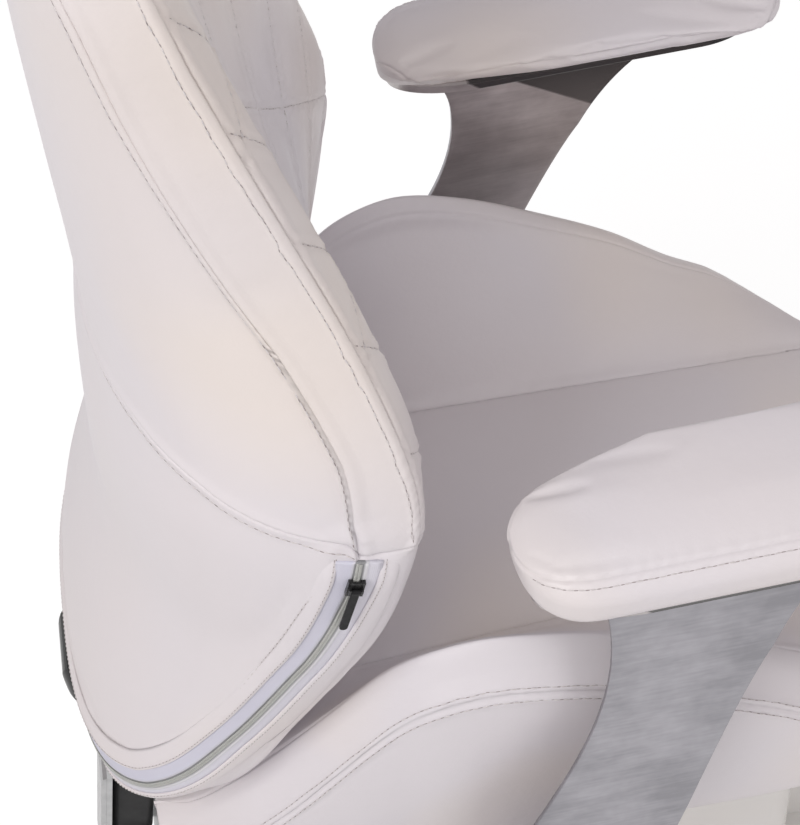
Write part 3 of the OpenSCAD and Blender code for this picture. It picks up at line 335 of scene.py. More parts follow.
def closed_skin(name, p, material):
    """A closed mesh from rings: quads between rings and a fan at each end."""
    r, c = p.shape[:2]
    i, j = np.meshgrid(np.arange(r - 1), np.arange(c), indexing="ij")
    k = (j + 1) % c
    quads = np.stack([i * c + j, i * c + k, (i + 1) * c + k, (i + 1) * c + j], -1).reshape(-1, 4)
    j = np.arange(c)
    k = (j + 1) % c
    low_fan = np.stack([np.full(c, r * c), k, j], -1)
    top_fan = np.stack([np.full(c, r * c + 1), (r - 1) * c + j, (r - 1) * c + k], -1)
    verts = np.concatenate([p.reshape(-1, 3), p[0].mean(0)[None], p[-1].mean(0)[None]])
    return mesh_piece(name, verts, quads.tolist() + low_fan.tolist() + top_fan.tolist(), material)


CLOTH_FRAMES = 20
CLOTH_STIFFNESS = 18


def blown(p, held, most, pressure=4.0):
    """How far each point of a grid of rings moves when its cover is cloth under a little air pressure: pinned by held
    (0 to 1), for CLOTH_FRAMES frames, and never further than most."""
    thing = closed_skin("cover_under_pressure", p, white_hide)
    held = np.append(held.reshape(-1), [1, 1])
    pins = thing.vertex_groups.new(name="held")
    for level in (0.25, 0.5, 0.75, 1.0):
        chosen = np.nonzero(np.abs(held - level) <= 0.125)[0].tolist()
        if chosen:
            pins.add(chosen, level, "REPLACE")
    cloth = thing.modifiers.new("air", "CLOTH")
    s = cloth.settings
    s.quality, s.mass, s.air_damping = 5, 0.4, 2
    s.tension_stiffness, s.compression_stiffness = CLOTH_STIFFNESS, CLOTH_STIFFNESS
    s.shear_stiffness, s.bending_stiffness = 12, 6
    s.vertex_group_mass, s.pin_stiffness = "held", 2
    s.use_pressure, s.uniform_pressure_force = True, pressure
    s.effector_weights.gravity = 0
    cloth.collision_settings.use_collision = False
    cloth.point_cache.frame_start, cloth.point_cache.frame_end = 1, CLOTH_FRAMES
    for f in range(1, CLOTH_FRAMES + 1):
        bpy.context.scene.frame_set(f)
    seen = thing.evaluated_get(bpy.context.evaluated_depsgraph_get()).data
    after = np.empty(len(seen.vertices) * 3)
    seen.vertices.foreach_get("co", after)
    bpy.context.scene.frame_set(1)
    bpy.data.objects.remove(thing)
    move = np.nan_to_num(after.reshape(-1, 3)[:-2].reshape(p.shape) - p)
    length = np.linalg.norm(move, axis=-1, keepdims=True)
    return move * np.minimum(1, most / np.maximum(length, 1e-9))


def bell(gap, wide):
    """1 on a line, dying away on both sides of it: e to the power of minus the square of gap over wide."""
    return np.exp(-(gap / wide) ** 2)


def puffed(base, held, drawn_in, most, pressure=4.0):
    """How far each point of a cover moves from its plain shape: drawn in along its normal where it isn't held, and then
    blown out again as cloth."""
    start = -normals_of(base) * (drawn_in * (1 - held))[..., None]
    return blown(base + start, held, most, pressure) + start


def fold(gap, deep, wide):
    """A sewn fold: a sharp valley with soft shoulders, the sum of a narrow and a wide bell."""
    return deep * (0.6 * bell(gap, wide) + 0.4 * bell(gap, 3.4 * wide))


def pucker(p, gap, pitch, size, fade=0.012):
    """Small puckers beside a seam: a wandering sine along the piece that dies away from the seam."""
    along = p[..., 2] + 0.9 * p[..., 1] + 0.15 * p[..., 0]
    wander = 1.9 * np.sin(along * 41.0) + 1.3 * np.sin(along * 93.0 + 1.0)
    return size * np.sin(2 * np.pi * along / pitch + wander) * bell(gap, fade)


def laid_on(points, p, n):
    """Points moved onto a grid's surface: each goes to the tangent plane at its nearest grid point. Returns the places
    and their normals."""
    flat_p, flat_n = p.reshape(-1, 3), n.reshape(-1, 3)
    place, out = np.empty_like(points), np.empty_like(points)
    for i in range(0, len(points), 64):
        q = points[i:i + 64]
        k = (((q * q).sum(1)[:, None] - 2 * q @ flat_p.T) + (flat_p * flat_p).sum(1)).argmin(1)
        out[i:i + 64] = flat_n[k]
        place[i:i + 64] = q - ((q - flat_p[k]) * flat_n[k]).sum(1)[:, None] * flat_n[k]
    return place, out


def even_steps(line, pitch):
    """Points on a polyline at an even pitch."""
    run = np.concatenate([[0], np.cumsum(np.linalg.norm(np.diff(line, axis=0), axis=1))])
    at = np.arange(0, run[-1], pitch)
    return np.stack([np.interp(at, run, line[:, k]) for k in range(3)], 1)


def ball_grid(around, up):
    """Points of a unit sphere by angle and height, its poles included, with the faces between them."""
    a, b = np.meshgrid(np.arange(around) * 2 * np.pi / around, (np.arange(up) + 1) * np.pi / (up + 1))
    pts = np.stack([np.cos(b), np.sin(b) * np.cos(a), np.sin(b) * np.sin(a)], -1).reshape(-1, 3)
    pts = np.concatenate([pts, [[1, 0, 0], [-1, 0, 0]]])
    j, i = np.arange(around), np.arange(up - 1)[:, None]
    k = (j + 1) % around
    quads = np.stack([i * around + j, i * around + k, (i + 1) * around + k, (i + 1) * around + j], -1).reshape(-1, 4)
    n = around * up
    return pts, quads, np.concatenate([np.stack([np.full(around, n), k, j], -1),
                                       np.stack([np.full(around, n + 1), n - around + j, n - around + k], -1)])


def scattered(name, shape, centre, along, out, size, material):
    """Many copies of a small shape as one mesh: each turned to its own direction and normal and stretched by size."""
    pts, quads, tris = shape
    side = np.cross(out, along)
    side /= np.linalg.norm(side, axis=1, keepdims=True)
    size = np.broadcast_to(size, (len(centre), 3))
    verts = centre[:, None] + sum((pts[None, :, k] * size[:, k, None])[..., None] * axis[:, None]
                                  for k, axis in enumerate((along, side, out)))
    shift = (np.arange(len(centre)) * len(pts))[:, None, None]
    faces = (quads[None] + shift).reshape(-1, 4).tolist() + (tris[None] + shift).reshape(-1, 3).tolist()
    return mesh_piece(name, verts.reshape(-1, 3), faces, material)


stitch_rows = {}


def sewn(body, line, p, n, pitch=0.0085):
    """Marks a row of lockstitches along a line on a grid's surface, to be made with the other rows on the same body."""
    spots, out = laid_on(even_steps(line, pitch), p, n)
    stitch_rows.setdefault(body, []).append((spots, out))


# half length as a share of the stitch, then half width and half height in metres, of the thread and of the dark dimples
# at the needle holes, which are painted shade
STITCH_SIZE, HOLE_SHADE_SIZE = (0.30, 0.00055, 0.00070), (0.22, 0.00042, 0.00042)
LONGEST_STITCH, THREAD_LIFT = 0.013, 0.00022


def make_stitches():
    """Each row becomes thread between its needle holes: a slim ball per stitch, sunk at both ends, and a small dark
    dimple at each needle hole, painted shade for the shadow down the hole. A gap longer than LONGEST_STITCH is the step
    from one row to the next, and stays bare."""
    for body, rows in stitch_rows.items():
        a = np.concatenate([s[:-1] for s, _ in rows])
        b = np.concatenate([s[1:] for s, _ in rows])
        out = np.concatenate([(m[:-1] + m[1:]) / 2 for _, m in rows])
        keep = np.linalg.norm(b - a, axis=1) < LONGEST_STITCH
        a, b, out = a[keep], b[keep], out[keep]
        out /= np.linalg.norm(out, axis=1, keepdims=True)
        along = b - a
        length = np.linalg.norm(along, axis=1, keepdims=True)
        along /= length
        sizes = [np.concatenate([length * part, np.full_like(length, wide), np.full_like(length, high)], 1)
                 for part, wide, high in (STITCH_SIZE, HOLE_SHADE_SIZE)]
        run = scattered("stitches_" + body, ball_grid(6, 5), (a + b) / 2 + out * THREAD_LIFT, along, out, sizes[0],
                        white_thread)
        shade_dots = scattered("painted_hole_shades_" + body, ball_grid(6, 3), a, along, out, sizes[1], painted_hole_shade)
        for thing in (run, shade_dots):
            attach(thing, body)


# rows of the back: height over the seat's panel seam, front and rear face ahead of the pads' rear tips, all in mm,
# and the share of the greatest half width
FOOT, LUMBAR, CROWN = -95, 352, 903     # heights of the foot, the lumbar seam at the sides and the crown
BACK_HALF, FRONT_EDGE, HOLLOW = 282, 40, 50     # greatest half width, depth of the rounded front edge and of the hollow
back_form = [[-95, -328, -340, 0.43], [-80, -303, -354, 0.63], [-50, -274, -384, 0.75], [0, -221, -386, 0.85],
             [80, -166, -365, 0.89], [160, -116, -332, 0.93], [220, -84, -310, 0.96], [285, -62, -303.5, 0.99],
             [355, -45, -297, 1], [415, -44, -286, 0.96], [500, -63, -278, 0.87], [590, -89, -274, 0.80],
             [710, -124, -269, 0.755], [825, -157, -261, 0.73], [880, -178, -250, 0.64], [903, -200, -235, 0.50]]


def back_point(h, a):
    """Point of the back at height h mm and a degrees behind its widest line on the chair's right (-90 is the front's
    middle, 90 the rear's): a super-ellipse of power 4.5 in front and 2.5 behind, hollowed between the bolsters."""
    uf, ur = smooth_table(back_form, h, 1), smooth_table(back_form, h, 2)
    w = smooth_table(back_form, h, 3) * BACK_HALF
    edge = np.minimum(FRONT_EDGE, (uf - ur) / 2)
    uc = uf - edge
    c, s = np.cos(np.radians(a)), -np.sin(np.radians(a))
    power = np.where(s > 0, 2 / 4.5, 2 / 2.5)
    x = -w * np.abs(c) ** power
    depth = np.abs(s) ** power
    hollow = HOLLOW * np.clip((h + 60) / 200, 0, 1) * np.clip((CROWN - h) / 260, 0, 1)
    f = np.maximum(0, 1 - (x / (0.82 * w)) ** 2)
    u = np.where(s > 0, uc + edge * depth - hollow * f ** 1.3, uc - (uc - ur) * depth)
    return np.stack([x / 1000, FRONT_ZERO - u / 1000, SEAM_FLOOR + h / 1000], -1)


# the lines that the covers are sewn along: [height, degrees behind the widest line], and for the rear one the other way
# round. The grid's columns are shared out between them, and its rings lie closer together beside the lumbar seam.
front_seam = np.array([[-95, -17], [350, -19.5], [387, -20], [426, -19.7], [492, -20.5], [549, -19.9], [610, -17.7],
                       [656, -16.7], [712, -16.7], [761, -17.5], [811, -23.2], [860, -30], [903, -36]])
side_seam = np.array([[-95, 12], [0, 11.5], [60, 11], [96, 10.3], [140, 8.8], [193, 8.3], [231, 6.8], [272, 5.4],
                      [303, 4.5], [350, 3.8], [384, 4.6], [438, 3.8], [486, 4.7], [534, 6.1], [586, 9.2], [614, 10.7],
                      [671, 13.4], [733, 15.8], [799, 16.2], [822, 17.7], [860, 21], [903, 26]])
rear_seam = np.array([[3.8, 352], [4, 360], [5, 367], [7, 371], [14, 381], [22, 392], [29, 402], [36, 414], [46, 426],
                      [53, 435], [63, 440], [90, 441]])
rows_low, rows_high = 60, 74
front_cols, band_cols, rear_cols = 32, 18, 30
zone = np.concatenate([np.zeros(front_cols), np.ones(band_cols), np.full(rear_cols + 1, 2)])
part_way = np.concatenate([eased(front_cols, 0.5), eased(band_cols, 0.7),
                           (np.arange(rear_cols + 1) / rear_cols) ** 1.4])
low = 1 - (1 - np.arange(rows_low) / rows_low) ** 1.35
high = (np.arange(rows_high + 1) / rows_high) ** 1.3


def back_table(zone, part_way, low, high):
    """Heights and angles of one half's grid: its columns keep to the sewn lines, part of the way from one to the next,
    and one of its rows is the lumbar seam. In front the columns share out the half width, not the angle."""
    lumbar = np.where(zone < 2, LUMBAR, np.interp(3.8 + 86.2 * part_way, rear_seam[:, 0], rear_seam[:, 1]))
    h = np.concatenate([FOOT + (lumbar - FOOT) * low[:, None], lumbar + (CROWN - lumbar) * high[:, None]])
    b_at = np.interp(h, front_seam[:, 0], front_seam[:, 1])
    a_at = np.interp(h, side_seam[:, 0], side_seam[:, 1])
    start = np.where(zone == 1, b_at, a_at)
    stop = np.where(zone == 1, a_at, 90)
    a = start + (stop - start) * part_way
    share = np.cos(np.radians(b_at)) ** (2 / 4.5) * np.where(zone == 0, part_way, 0)
    return h, np.where(zone == 0, -np.degrees(np.arccos(np.clip(share, 0, 1) ** 2.25)), a)


def both_halves(grid):
    """The right half's columns and their mirror image, once round without repeating the two middle columns."""
    other = grid[:, -2:0:-1].copy()
    if grid.ndim == 3:
        other[..., 0] *= -1
    return np.concatenate([grid, other], 1)


QUILT_FALL, QUILT_PITCH = 490, 185      # fall of a line over the whole panel, and the step from one to the next, mm
QUILT_LONG, QUILT_SHORT = 803, 712      # height at the front seam of one long line and of one that ends in the middle


def quilt_gap(h, where):
    """Distance in mm from the front panel's nearest quilting line: slanted lines that fall 245 mm from a front seam to
    the middle, of which every second one carries on to the other seam."""
    near = np.full(h.shape, 1e3)
    for turn in (-1, 1):
        t = (where * turn + 1) / 2
        long_line, short_line = (
            np.abs((h - (first - QUILT_FALL * t) + QUILT_PITCH / 2) % QUILT_PITCH - QUILT_PITCH / 2)
            for first in (QUILT_LONG, QUILT_SHORT))
        near = np.minimum(near, long_line)
        near = np.where(t <= 0.5, np.minimum(near, short_line), near)
    return near * 0.66      # measured square to the slanted lines


def back_lines(h, zone, part_way, p, fine):
    """Distances from the sewn lines at every grid point, in metres: front seam, side seam, lumbar seam, quilting and
    zip. The last value is 1 above the lumbar seam and 0 below it."""
    k = 2 if fine else 1
    b, s, row = front_cols * k, (front_cols + band_cols) * k, rows_low * k
    c = p.shape[1]
    above = both_halves((h > LUMBAR - 1).astype(float))
    from_b = np.minimum(steps_from(p, b), steps_from(p, c - b))
    from_a = np.minimum(steps_from(p, s), steps_from(p, c - s))
    side = np.concatenate([np.full(h.shape[1], -1.0), np.full(h.shape[1] - 2, 1.0)])
    share = both_halves(np.where(zone == 0, part_way, 1.0)[None] * np.ones_like(h)) * side
    gap = quilt_gap(both_halves(h), share) / 1000
    gap = np.where((np.abs(share) < 0.999) & (above > 0), gap, 0.05)
    return from_b, from_a, rise_from(p, row), gap, way_gap(p, zip_line), above


# the zip's middle line, [height, degrees behind the widest line]: down beside the side seam and round the foot
zip_way = np.array([[350, 3.7], [325, 4], [300, 4.6], [272, 5.4], [245, 6.3], [218, 7.2], [190, 8.2], [165, 8.7],
                    [140, 9.2], [115, 9.8], [92, 10.8], [68, 12.2], [45, 14.5], [27, 17.5], [12, 21], [-1, 25],
                    [-12, 31], [-21, 38], [-29, 46], [-36, 57], [-40, 68], [-43, 79], [-44, 90]])
zip_half = back_point(zip_way[:, 0], zip_way[:, 1])
zip_line = np.concatenate([zip_half, zip_half[-2::-1] * [-1, 1, 1]])

h, a = back_table(zone, part_way, low, high)
rough_back = both_halves(back_point(h, a))
from_b, from_a, from_row, from_quilt, from_zip, above = back_lines(h, zone, part_way, rough_back, False)
# the cover is held along its seams, beside the zip and at its foot, and swells between them
held = np.maximum.reduce([bell(from_b, 0.006) * above, bell(from_a, 0.006) * above, bell(from_row, 0.006),
                          bell(from_quilt, 0.007), np.clip((0.042 - from_zip) / 0.015, 0, 1),
                          np.clip((-50 - both_halves(h)) / 20, 0, 1)])
swell = puffed(rough_back, held, 0.0035, 0.009)

fine_zone = finer(zone, 0, cubic=False)
fine_zone = np.where(fine_zone % 1 > 0, np.floor(fine_zone), fine_zone)
fine_part = finer(part_way, 0, cubic=False)
for edge in (front_cols, front_cols + band_cols):
    fine_part[2 * edge - 1] = (part_way[edge - 1] + 1) / 2      # a zone's last middle lies between its last share and 1
h, a = back_table(fine_zone, fine_part, finer(np.append(low, 1), 0, cubic=False)[:-1], finer(high, 0, cubic=False))
back_base = both_halves(back_point(h, a))
back_base += finer(finer(swell, 0), 1, closed=True)
from_b, from_a, from_row, from_quilt, from_zip, above = back_lines(h, fine_zone, fine_part, back_base, True)
# seams, quilting and the bed of the zip sink in, the cover puckers beside them, and the folded seams stand proud
sink = (fold(from_b, 0.0034, 0.0013) + fold(from_a, 0.0036, 0.0012)) * above
sink += fold(from_row, 0.0032, 0.0013)
sink += fold(from_quilt, 0.0046, 0.0030)
sink += 0.0010 * np.clip((0.0215 - from_zip) / 0.004, 0, 1)
sink += pucker(back_base, np.minimum(from_b, from_quilt), 0.0105, 0.00040) * above
sink += pucker(back_base, np.minimum(from_a, from_row), 0.013, 0.00018)
sink -= 0.0014 * bell(np.minimum(from_a, from_b) - 0.0075, 0.004) * above
back_base -= normals_of(back_base) * sink[..., None]
back_out = normals_of(back_base)
back_cover = closed_skin("back_cover", back_base, white_hide)
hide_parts("back_pad")
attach(back_cover, "back")


def beside(q, column, offset):
    """A line over rings that keeps an offset in metres from a seam's column, towards later columns where positive."""
    run = np.concatenate([np.zeros((len(q), 1)), np.cumsum(np.linalg.norm(np.diff(q, axis=1), axis=-1), 1)], 1)
    run -= run[:, column][:, None]
    return np.stack([[np.interp(offset, run[i], q[i, :, k]) for k in range(3)] for i in range(len(q))])


flip = np.array([-1, 1, 1])
front_rows = h[:, 0]
above_lumbar = back_base[rows_low * 2:np.searchsorted(front_rows, 896)]
lines = [beside(above_lumbar, front_cols * 2, 0.0125), beside(above_lumbar, (front_cols + band_cols) * 2, 0.0105)]
t = np.linspace(0.02, 0.98, 60)


def on_front(height, share):
    """Points of the finished front panel at heights over the seat seam and shares of its half width, -1 to 1."""
    r = np.interp(height, front_rows, np.arange(len(front_rows)))
    c = np.interp(np.abs(share), np.append(fine_part[:2 * front_cols], 1), np.arange(2 * front_cols + 1))
    i, j = np.minimum(r.astype(int), len(front_rows) - 2), np.minimum(c.astype(int), 2 * front_cols - 1)
    fr, fc = (r - i)[:, None], (c - j)[:, None]
    near, far = (back_base[i, col] * (1 - fr) + back_base[i + 1, col] * fr for col in (j, j + 1))
    q = near * (1 - fc) + far * fc
    q[:, 0] *= np.where(share > 0, -1, 1)
    return q


for first, reach in ([(QUILT_LONG + QUILT_PITCH * k, 1.0) for k in range(-3, 4)]
                     + [(QUILT_SHORT + QUILT_PITCH * k, 0.5) for k in range(-2, 2)]):
    line_h, line_t = first - QUILT_FALL * t * reach, t * reach
    good = (line_h > LUMBAR + 4) & (line_h < CROWN - 10)
    if good.sum() > 3:
        lines.append(on_front(line_h[good], line_t[good] * 2 - 1))
for q in lines:
    for m in (1, flip):
        sewn("back", q * m, back_base, back_out)
# the row of stitches below the lumbar seam, on the rear panel
lower_run = np.stack([back_point(np.interp(v, rear_seam[:, 0], rear_seam[:, 1]) - 9.5, v)
                      for v in np.linspace(4.5, 90, 60)])
lower_run = np.concatenate([lower_run, lower_run[-2::-1] * flip])
sewn("back", lower_run, back_base, back_out)
# the dashed line beside the zip on the rear side
zip_side = np.stack([back_point(v, w) for v, w in [(354, 7.3), (297, 12.1), (246, 15.4), (169, 18.4), (98, 20.2),
                                                   (60, 23), (30, 29), (8, 38), (-8, 52), (-15, 70), (-17, 90)]])
zip_side = np.stack([np.interp(np.linspace(0, 10, 80), np.arange(11), zip_side[:, k]) for k in range(3)], 1)
sewn("back", np.concatenate([zip_side, zip_side[-2::-1] * flip]), back_base, back_out)


# ---------------------------------------------------------------------------
# The zip under the lumbar seam: a woven tape with two rows of teeth, between
# two folded leather hems. It runs down the side seam and round the back's foot.
# ---------------------------------------------------------------------------
def back_frame_at(h, a):
    """Place, outward normal and the two surface directions of the back at a height and angle, by central
    differences."""
    near = np.minimum(a, 89.4)
    up = (back_point(h + 1, a) - back_point(h - 1, a)) / 2
    round_it = back_point(h, near + 0.5) - back_point(h, near - 0.5)
    n = np.cross(up, round_it)
    n /= np.linalg.norm(n, axis=-1, keepdims=True)
    place = back_point(h, a)
    inside = [0, 0.59, 0.8]     # a point in the back's foam
    outwards = np.sign((n * (place - inside)).sum(-1, keepdims=True))
    return place, n * outwards, up, round_it


ZIP_RINGS = 330
zip_table = np.column_stack([np.arange(len(zip_way)), zip_way])
zip_run = np.linspace(0, len(zip_way) - 1, ZIP_RINGS)
zip_h, zip_a = smooth_table(zip_table, zip_run, 1), smooth_table(zip_table, zip_run, 2)
zip_mid, zip_out, zip_up, zip_round = back_frame_at(zip_h, zip_a)
zip_way_on = np.gradient(zip_mid, axis=0)
zip_way_on[-1] = [1, 0, 0]
zip_way_on /= np.linalg.norm(zip_way_on, axis=1, keepdims=True)
zip_out -= (zip_out * zip_way_on).sum(1, keepdims=True) * zip_way_on
zip_out /= np.linalg.norm(zip_out, axis=1, keepdims=True)
zip_across = np.cross(zip_way_on, zip_out)


def zip_ribbon(section):
    """Rings of a strip along the zip, and their normals. The section gives mm across, rearwards positive, and mm above
    the back: each point is carried over the back's own surface, so wide strips bend with it."""
    rings, outs = [], []
    for across, high in section:
        step = zip_across * across / 1000
        g11, g12, g22 = (zip_up * zip_up).sum(1), (zip_up * zip_round).sum(1), (zip_round * zip_round).sum(1)
        r1, r2 = (zip_up * step).sum(1), (zip_round * step).sum(1)
        det = g11 * g22 - g12 * g12
        place, out, _, _ = back_frame_at(zip_h + (r1 * g22 - r2 * g12) / det, zip_a + (r2 * g11 - r1 * g12) / det)
        rings.append(place + out * high / 1000)
        outs.append(out)
    p, n = np.stack(rings, 1), np.stack(outs, 1)
    return np.concatenate([p, p[-2::-1] * flip]), np.concatenate([n, n[-2::-1] * flip])


def lay_uv(thing, uv):
    """Gives a mesh a UV map from one pair of numbers per vertex."""
    layer = thing.data.uv_layers.new(name="along")
    corner = np.empty(len(thing.data.loops), np.int64)
    thing.data.loops.foreach_get("vertex_index", corner)
    layer.data.foreach_set("uv", uv[corner].reshape(-1))


tape_section = [(-15.8, 0.9), (-12, 1.2), (-8.2, 1.4), (-7.3, 1.5), (-6.9, 2.2), (-6.4, 2.35), (-4.2, 2.35),
                (-3.8, 1.6), (-3.0, 1.5), (0, 1.5), (3.0, 1.5), (3.7, 1.6), (4.1, 2.1), (6.5, 1.9), (10, 1.5),
                (14, 1.3), (18.4, 1.1), (18.6, -1.8), (0, -1.8), (-15.8, -1.8)]
TAPE_MIDDLE = 9         # the section's point on the middle line
ribbon = Finish("zip_tape_woven")
# the tape's tints follow its width: pale cloth and a raised cord, with a near-black band under the teeth that is
# painted shade, showing in the gaps between them
place_on = ribbon.node("SeparateXYZ", Vector=ribbon.node("TexCoord", outlet=2))
share_across = (place_on * 1000.0 + 20.0) / 40.0
tape_tint_and_shade_stops = [(0.0, (0.66, 0.655, 0.74)), (0.33, (0.68, 0.675, 0.745)), (0.345, (0.60, 0.61, 0.62)),
              (0.385, (0.66, 0.66, 0.685)), (0.415, (0.20, 0.21, 0.20)), (0.585, (0.20, 0.21, 0.20)),
              (0.60, (0.66, 0.66, 0.71)), (0.66, (0.575, 0.58, 0.69)), (1.0, (0.60, 0.60, 0.70))]
tape_tint_and_shade = ribbon.node("ValToRGB", {"stops": tape_tint_and_shade_stops}, Fac=share_across)
rib = ribbon.node("Math", {"operation": "SINE"}, i0=place_on * 5200.0)
worn = ribbon.noise(30, 3)
tape_finish = ribbon.surface(Base_Color=ribbon.blend(worn * 0.5, tape_tint_and_shade, (0.70, 0.70, 0.78)),
                             Roughness=0.5 + worn * 0.15,
                             Normal=ribbon.bump(rib + ribbon.noise(2600, 2), 0.35, 0.00012))
tape, tape_out = zip_ribbon(tape_section)
strip = closed_skin("zip_tape_strip", tape, tape_finish)
middle_line = tape[:, TAPE_MIDDLE]
run_on = np.concatenate([[0], np.cumsum(np.linalg.norm(np.diff(middle_line, axis=0), axis=1))])
wide = np.array([v for v, _ in tape_section]) / 1000
uv = np.stack([np.broadcast_to(v, tape.shape[:2]) for v in (wide, run_on[:, None])], -1).reshape(-1, 2)
lay_uv(strip, np.concatenate([uv, [[0, 0], [0, run_on[-1]]]]))
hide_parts("zip_tape")
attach(strip, "back")

nylon = Finish("zip_teeth_grey")
tooth_tone = nylon.noise(700, 2)
tooth_finish = nylon.surface(Base_Color=nylon.blend(tooth_tone, (0.40, 0.41, 0.39), (0.56, 0.57, 0.55)),
                             Metallic=0.35, Roughness=0.32 + tooth_tone * 0.15)
# pitch of one row's teeth, how far a row stands off the middle line and over the tape, and a tooth's half sizes, metres
TOOTH_PITCH, TOOTH_OFF, TOOTH_LIFT = 0.0015, 0.0012, 0.0009
TOOTH_SIZE = (0.00150, 0.00058, 0.00085)
seats = even_steps(middle_line, TOOTH_PITCH / 2)
tooth_way = np.gradient(seats, axis=0)
tooth_way /= np.linalg.norm(tooth_way, axis=1, keepdims=True)
at = np.arange(len(seats)) * TOOTH_PITCH / 2
tooth_out = np.stack([np.interp(at, run_on, tape_out[:, TAPE_MIDDLE, k]) for k in range(3)], 1)
tooth_side = np.cross(tooth_way, tooth_out)
row = np.where(np.arange(len(seats)) % 2 == 0, 1.0, -1.0)[:, None]
seats = seats + tooth_side * row * TOOTH_OFF + tooth_out * TOOTH_LIFT
teeth = scattered("zip_teeth", ball_grid(6, 3), seats, tooth_side, tooth_out, TOOTH_SIZE, tooth_finish)
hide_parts("zip_chain_teeth")
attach(teeth, "back")

# the hems' sections; each hem is tucked under the lumbar seam at both ends
rear_hem = [(17.4, 0.4), (17.0, 1.6), (17.2, 2.6), (18.2, 3.2), (19.8, 3.3), (22, 3.0), (25, 2.2), (28, 1.1),
            (31, -0.2), (34, -1.7), (17.6, -1.7)]
front_hem = [(-30, -1.7), (-28.5, -0.4), (-26, 0.7), (-23, 1.7), (-20, 2.4), (-17.6, 2.75), (-15.8, 2.7),
             (-14.9, 2.1), (-14.7, 1.2), (-15.0, 0.3), (-15.4, -1.7)]
HEM_TUCK, TUCK_RINGS = 0.0036, 15
for name, section, seam_at, pitch in (("zip_hem_rear", rear_hem, 4, 0.0052), ("zip_hem_front", front_hem, 5, 0.0046)):
    hem, hem_out = zip_ribbon(section)
    from_end = np.minimum(np.arange(len(hem)), np.arange(len(hem))[::-1])
    hem -= hem_out * (HEM_TUCK * np.clip(1 - from_end / TUCK_RINGS, 0, 1) ** 2)[:, None, None]
    strip = closed_skin(name, hem, white_hide)
    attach(strip, "back")
    sewn("back", hem[:, seam_at], hem, hem_out, pitch)


# ---------------------------------------------------------------------------
# Seat: a centre cushion between two side wings. Each wing is a lens-shaped
# inner panel, a band over the crest and an outer face hanging to the seat
# board, with a double-stitched seam under the band.
# ---------------------------------------------------------------------------
# rows of a wing: mm ahead of the pads' rear tips, and its crest's rise and its outer face as shares of their greatest
seat_form = [[-335, -0.62, 0.72], [-300, -0.48, 0.80], [-250, -0.20, 0.86], [-225, -0.06, 0.875], [-200, 0.10, 0.89],
             [-150, 0.46, 0.92], [-106, 0.75, 0.94], [-74, 0.91, 0.965], [-29, 1.0, 0.985], [14, 1.0, 1],
             [78, 0.885, 1], [145, 0.685, 1], [222, 0.425, 1], [283, 0.16, 0.99], [326, 0.028, 0.97],
             [361, -0.066, 0.925], [406, -0.094, 0.80], [449, -0.138, 0.66], [478, -0.16, 0.545]]
CREST_RISE, WING_HALF, CREST_IN = 181, 298, 34      # greatest rise and half width, and the crest's step in from it
CUSHION_TOP, CUSHION_FLOOR = 590, 445.4     # height of the panel seam and of the cushions' underside, mm
BOARD_TOP = 0.4451      # the seat board's face, which no cushion passes, in metres


def seat_top(u):
    """Height of the panel seam at u mm ahead of the pads' tips: level, falling under the back, rounded off in front."""
    return CUSHION_TOP + np.where(u > -215, 0, (u + 215) * 1.12) + front_drop(u)


def front_drop(u):
    """Fall of the front's rounding: a quarter of an ellipse 61 mm long and 60 mm deep that starts at u = 418."""
    return np.where(u < 418, 0, -60 * (1 - np.sqrt(np.clip(1 - ((u - 418) / 61) ** 2, 0, 1))))


def panel_edge(u):
    """Half width of the centre cushion at u: a straight taper from 150 mm at its rear end to 118 mm in front."""
    return 150 - 32 * (u + 262) / 740


def to_row(x, u, z):
    """Points in metres from x, the distance ahead of the pads' rear tips and the height over the floor in mm."""
    return np.stack([x / 1000, FRONT_ZERO - u / 1000, z / 1000], -1)


def between(a, b, share):
    """The value that lies a share of the way from a to b."""
    return a + (b - a) * share


def wing_points(u):
    """The sixteen points of a wing's outline at u, as (u, point, x and z): over the inner panel to the crest, round the
    band, down the outer face and back along the board. In front the crest leans inwards, so that the panel tapers."""
    face = smooth_table(seat_form, u, 2) * WING_HALF
    inner = np.minimum(panel_edge(u), face - CREST_IN)
    seam_z = seat_top(u)
    crest_z = CUSHION_TOP + CREST_RISE * smooth_table(seat_form, u, 1) + front_drop(u) * 0.9
    lean = np.interp(u, [326, 345, 361, 385, 406, 430, 449, 465, 478], [0, 4, 10, 22, 34, 40, 26, 12, 3])
    rise, crest, low_z = crest_z - seam_z, face - CREST_IN - lean, CUSHION_FLOOR
    face_z = np.maximum(crest_z - 42, low_z + 18)
    pts = [(inner, seam_z), (between(inner, crest, 0.25), seam_z + rise * 0.16 + 3),
           (between(inner, crest, 0.5), seam_z + rise * 0.40 + 5),
           (between(inner, crest, 0.75), seam_z + rise * 0.70 + 5),
           (between(inner, crest, 0.9), seam_z + rise * 0.90 + 3), (crest - 2, crest_z), (crest + 8, crest_z - 5),
           (crest + 18, np.maximum(crest_z - 19, face_z + 4)), (face - 2 - 0.85 * lean, face_z),
           (face - 0.55 * lean, between(face_z, low_z, 0.25)), (face - 1 - 0.25 * lean, between(face_z, low_z, 0.55)),
           (face - 8, between(face_z, low_z, 0.9)), (face - 22, low_z), (between(inner, face, 0.4), low_z),
           (inner + 3, low_z), (inner, between(seam_z, low_z, 0.35))]
    return np.stack([np.stack([a + 0 * u, b + 0 * u], -1) for a, b in pts], 1)


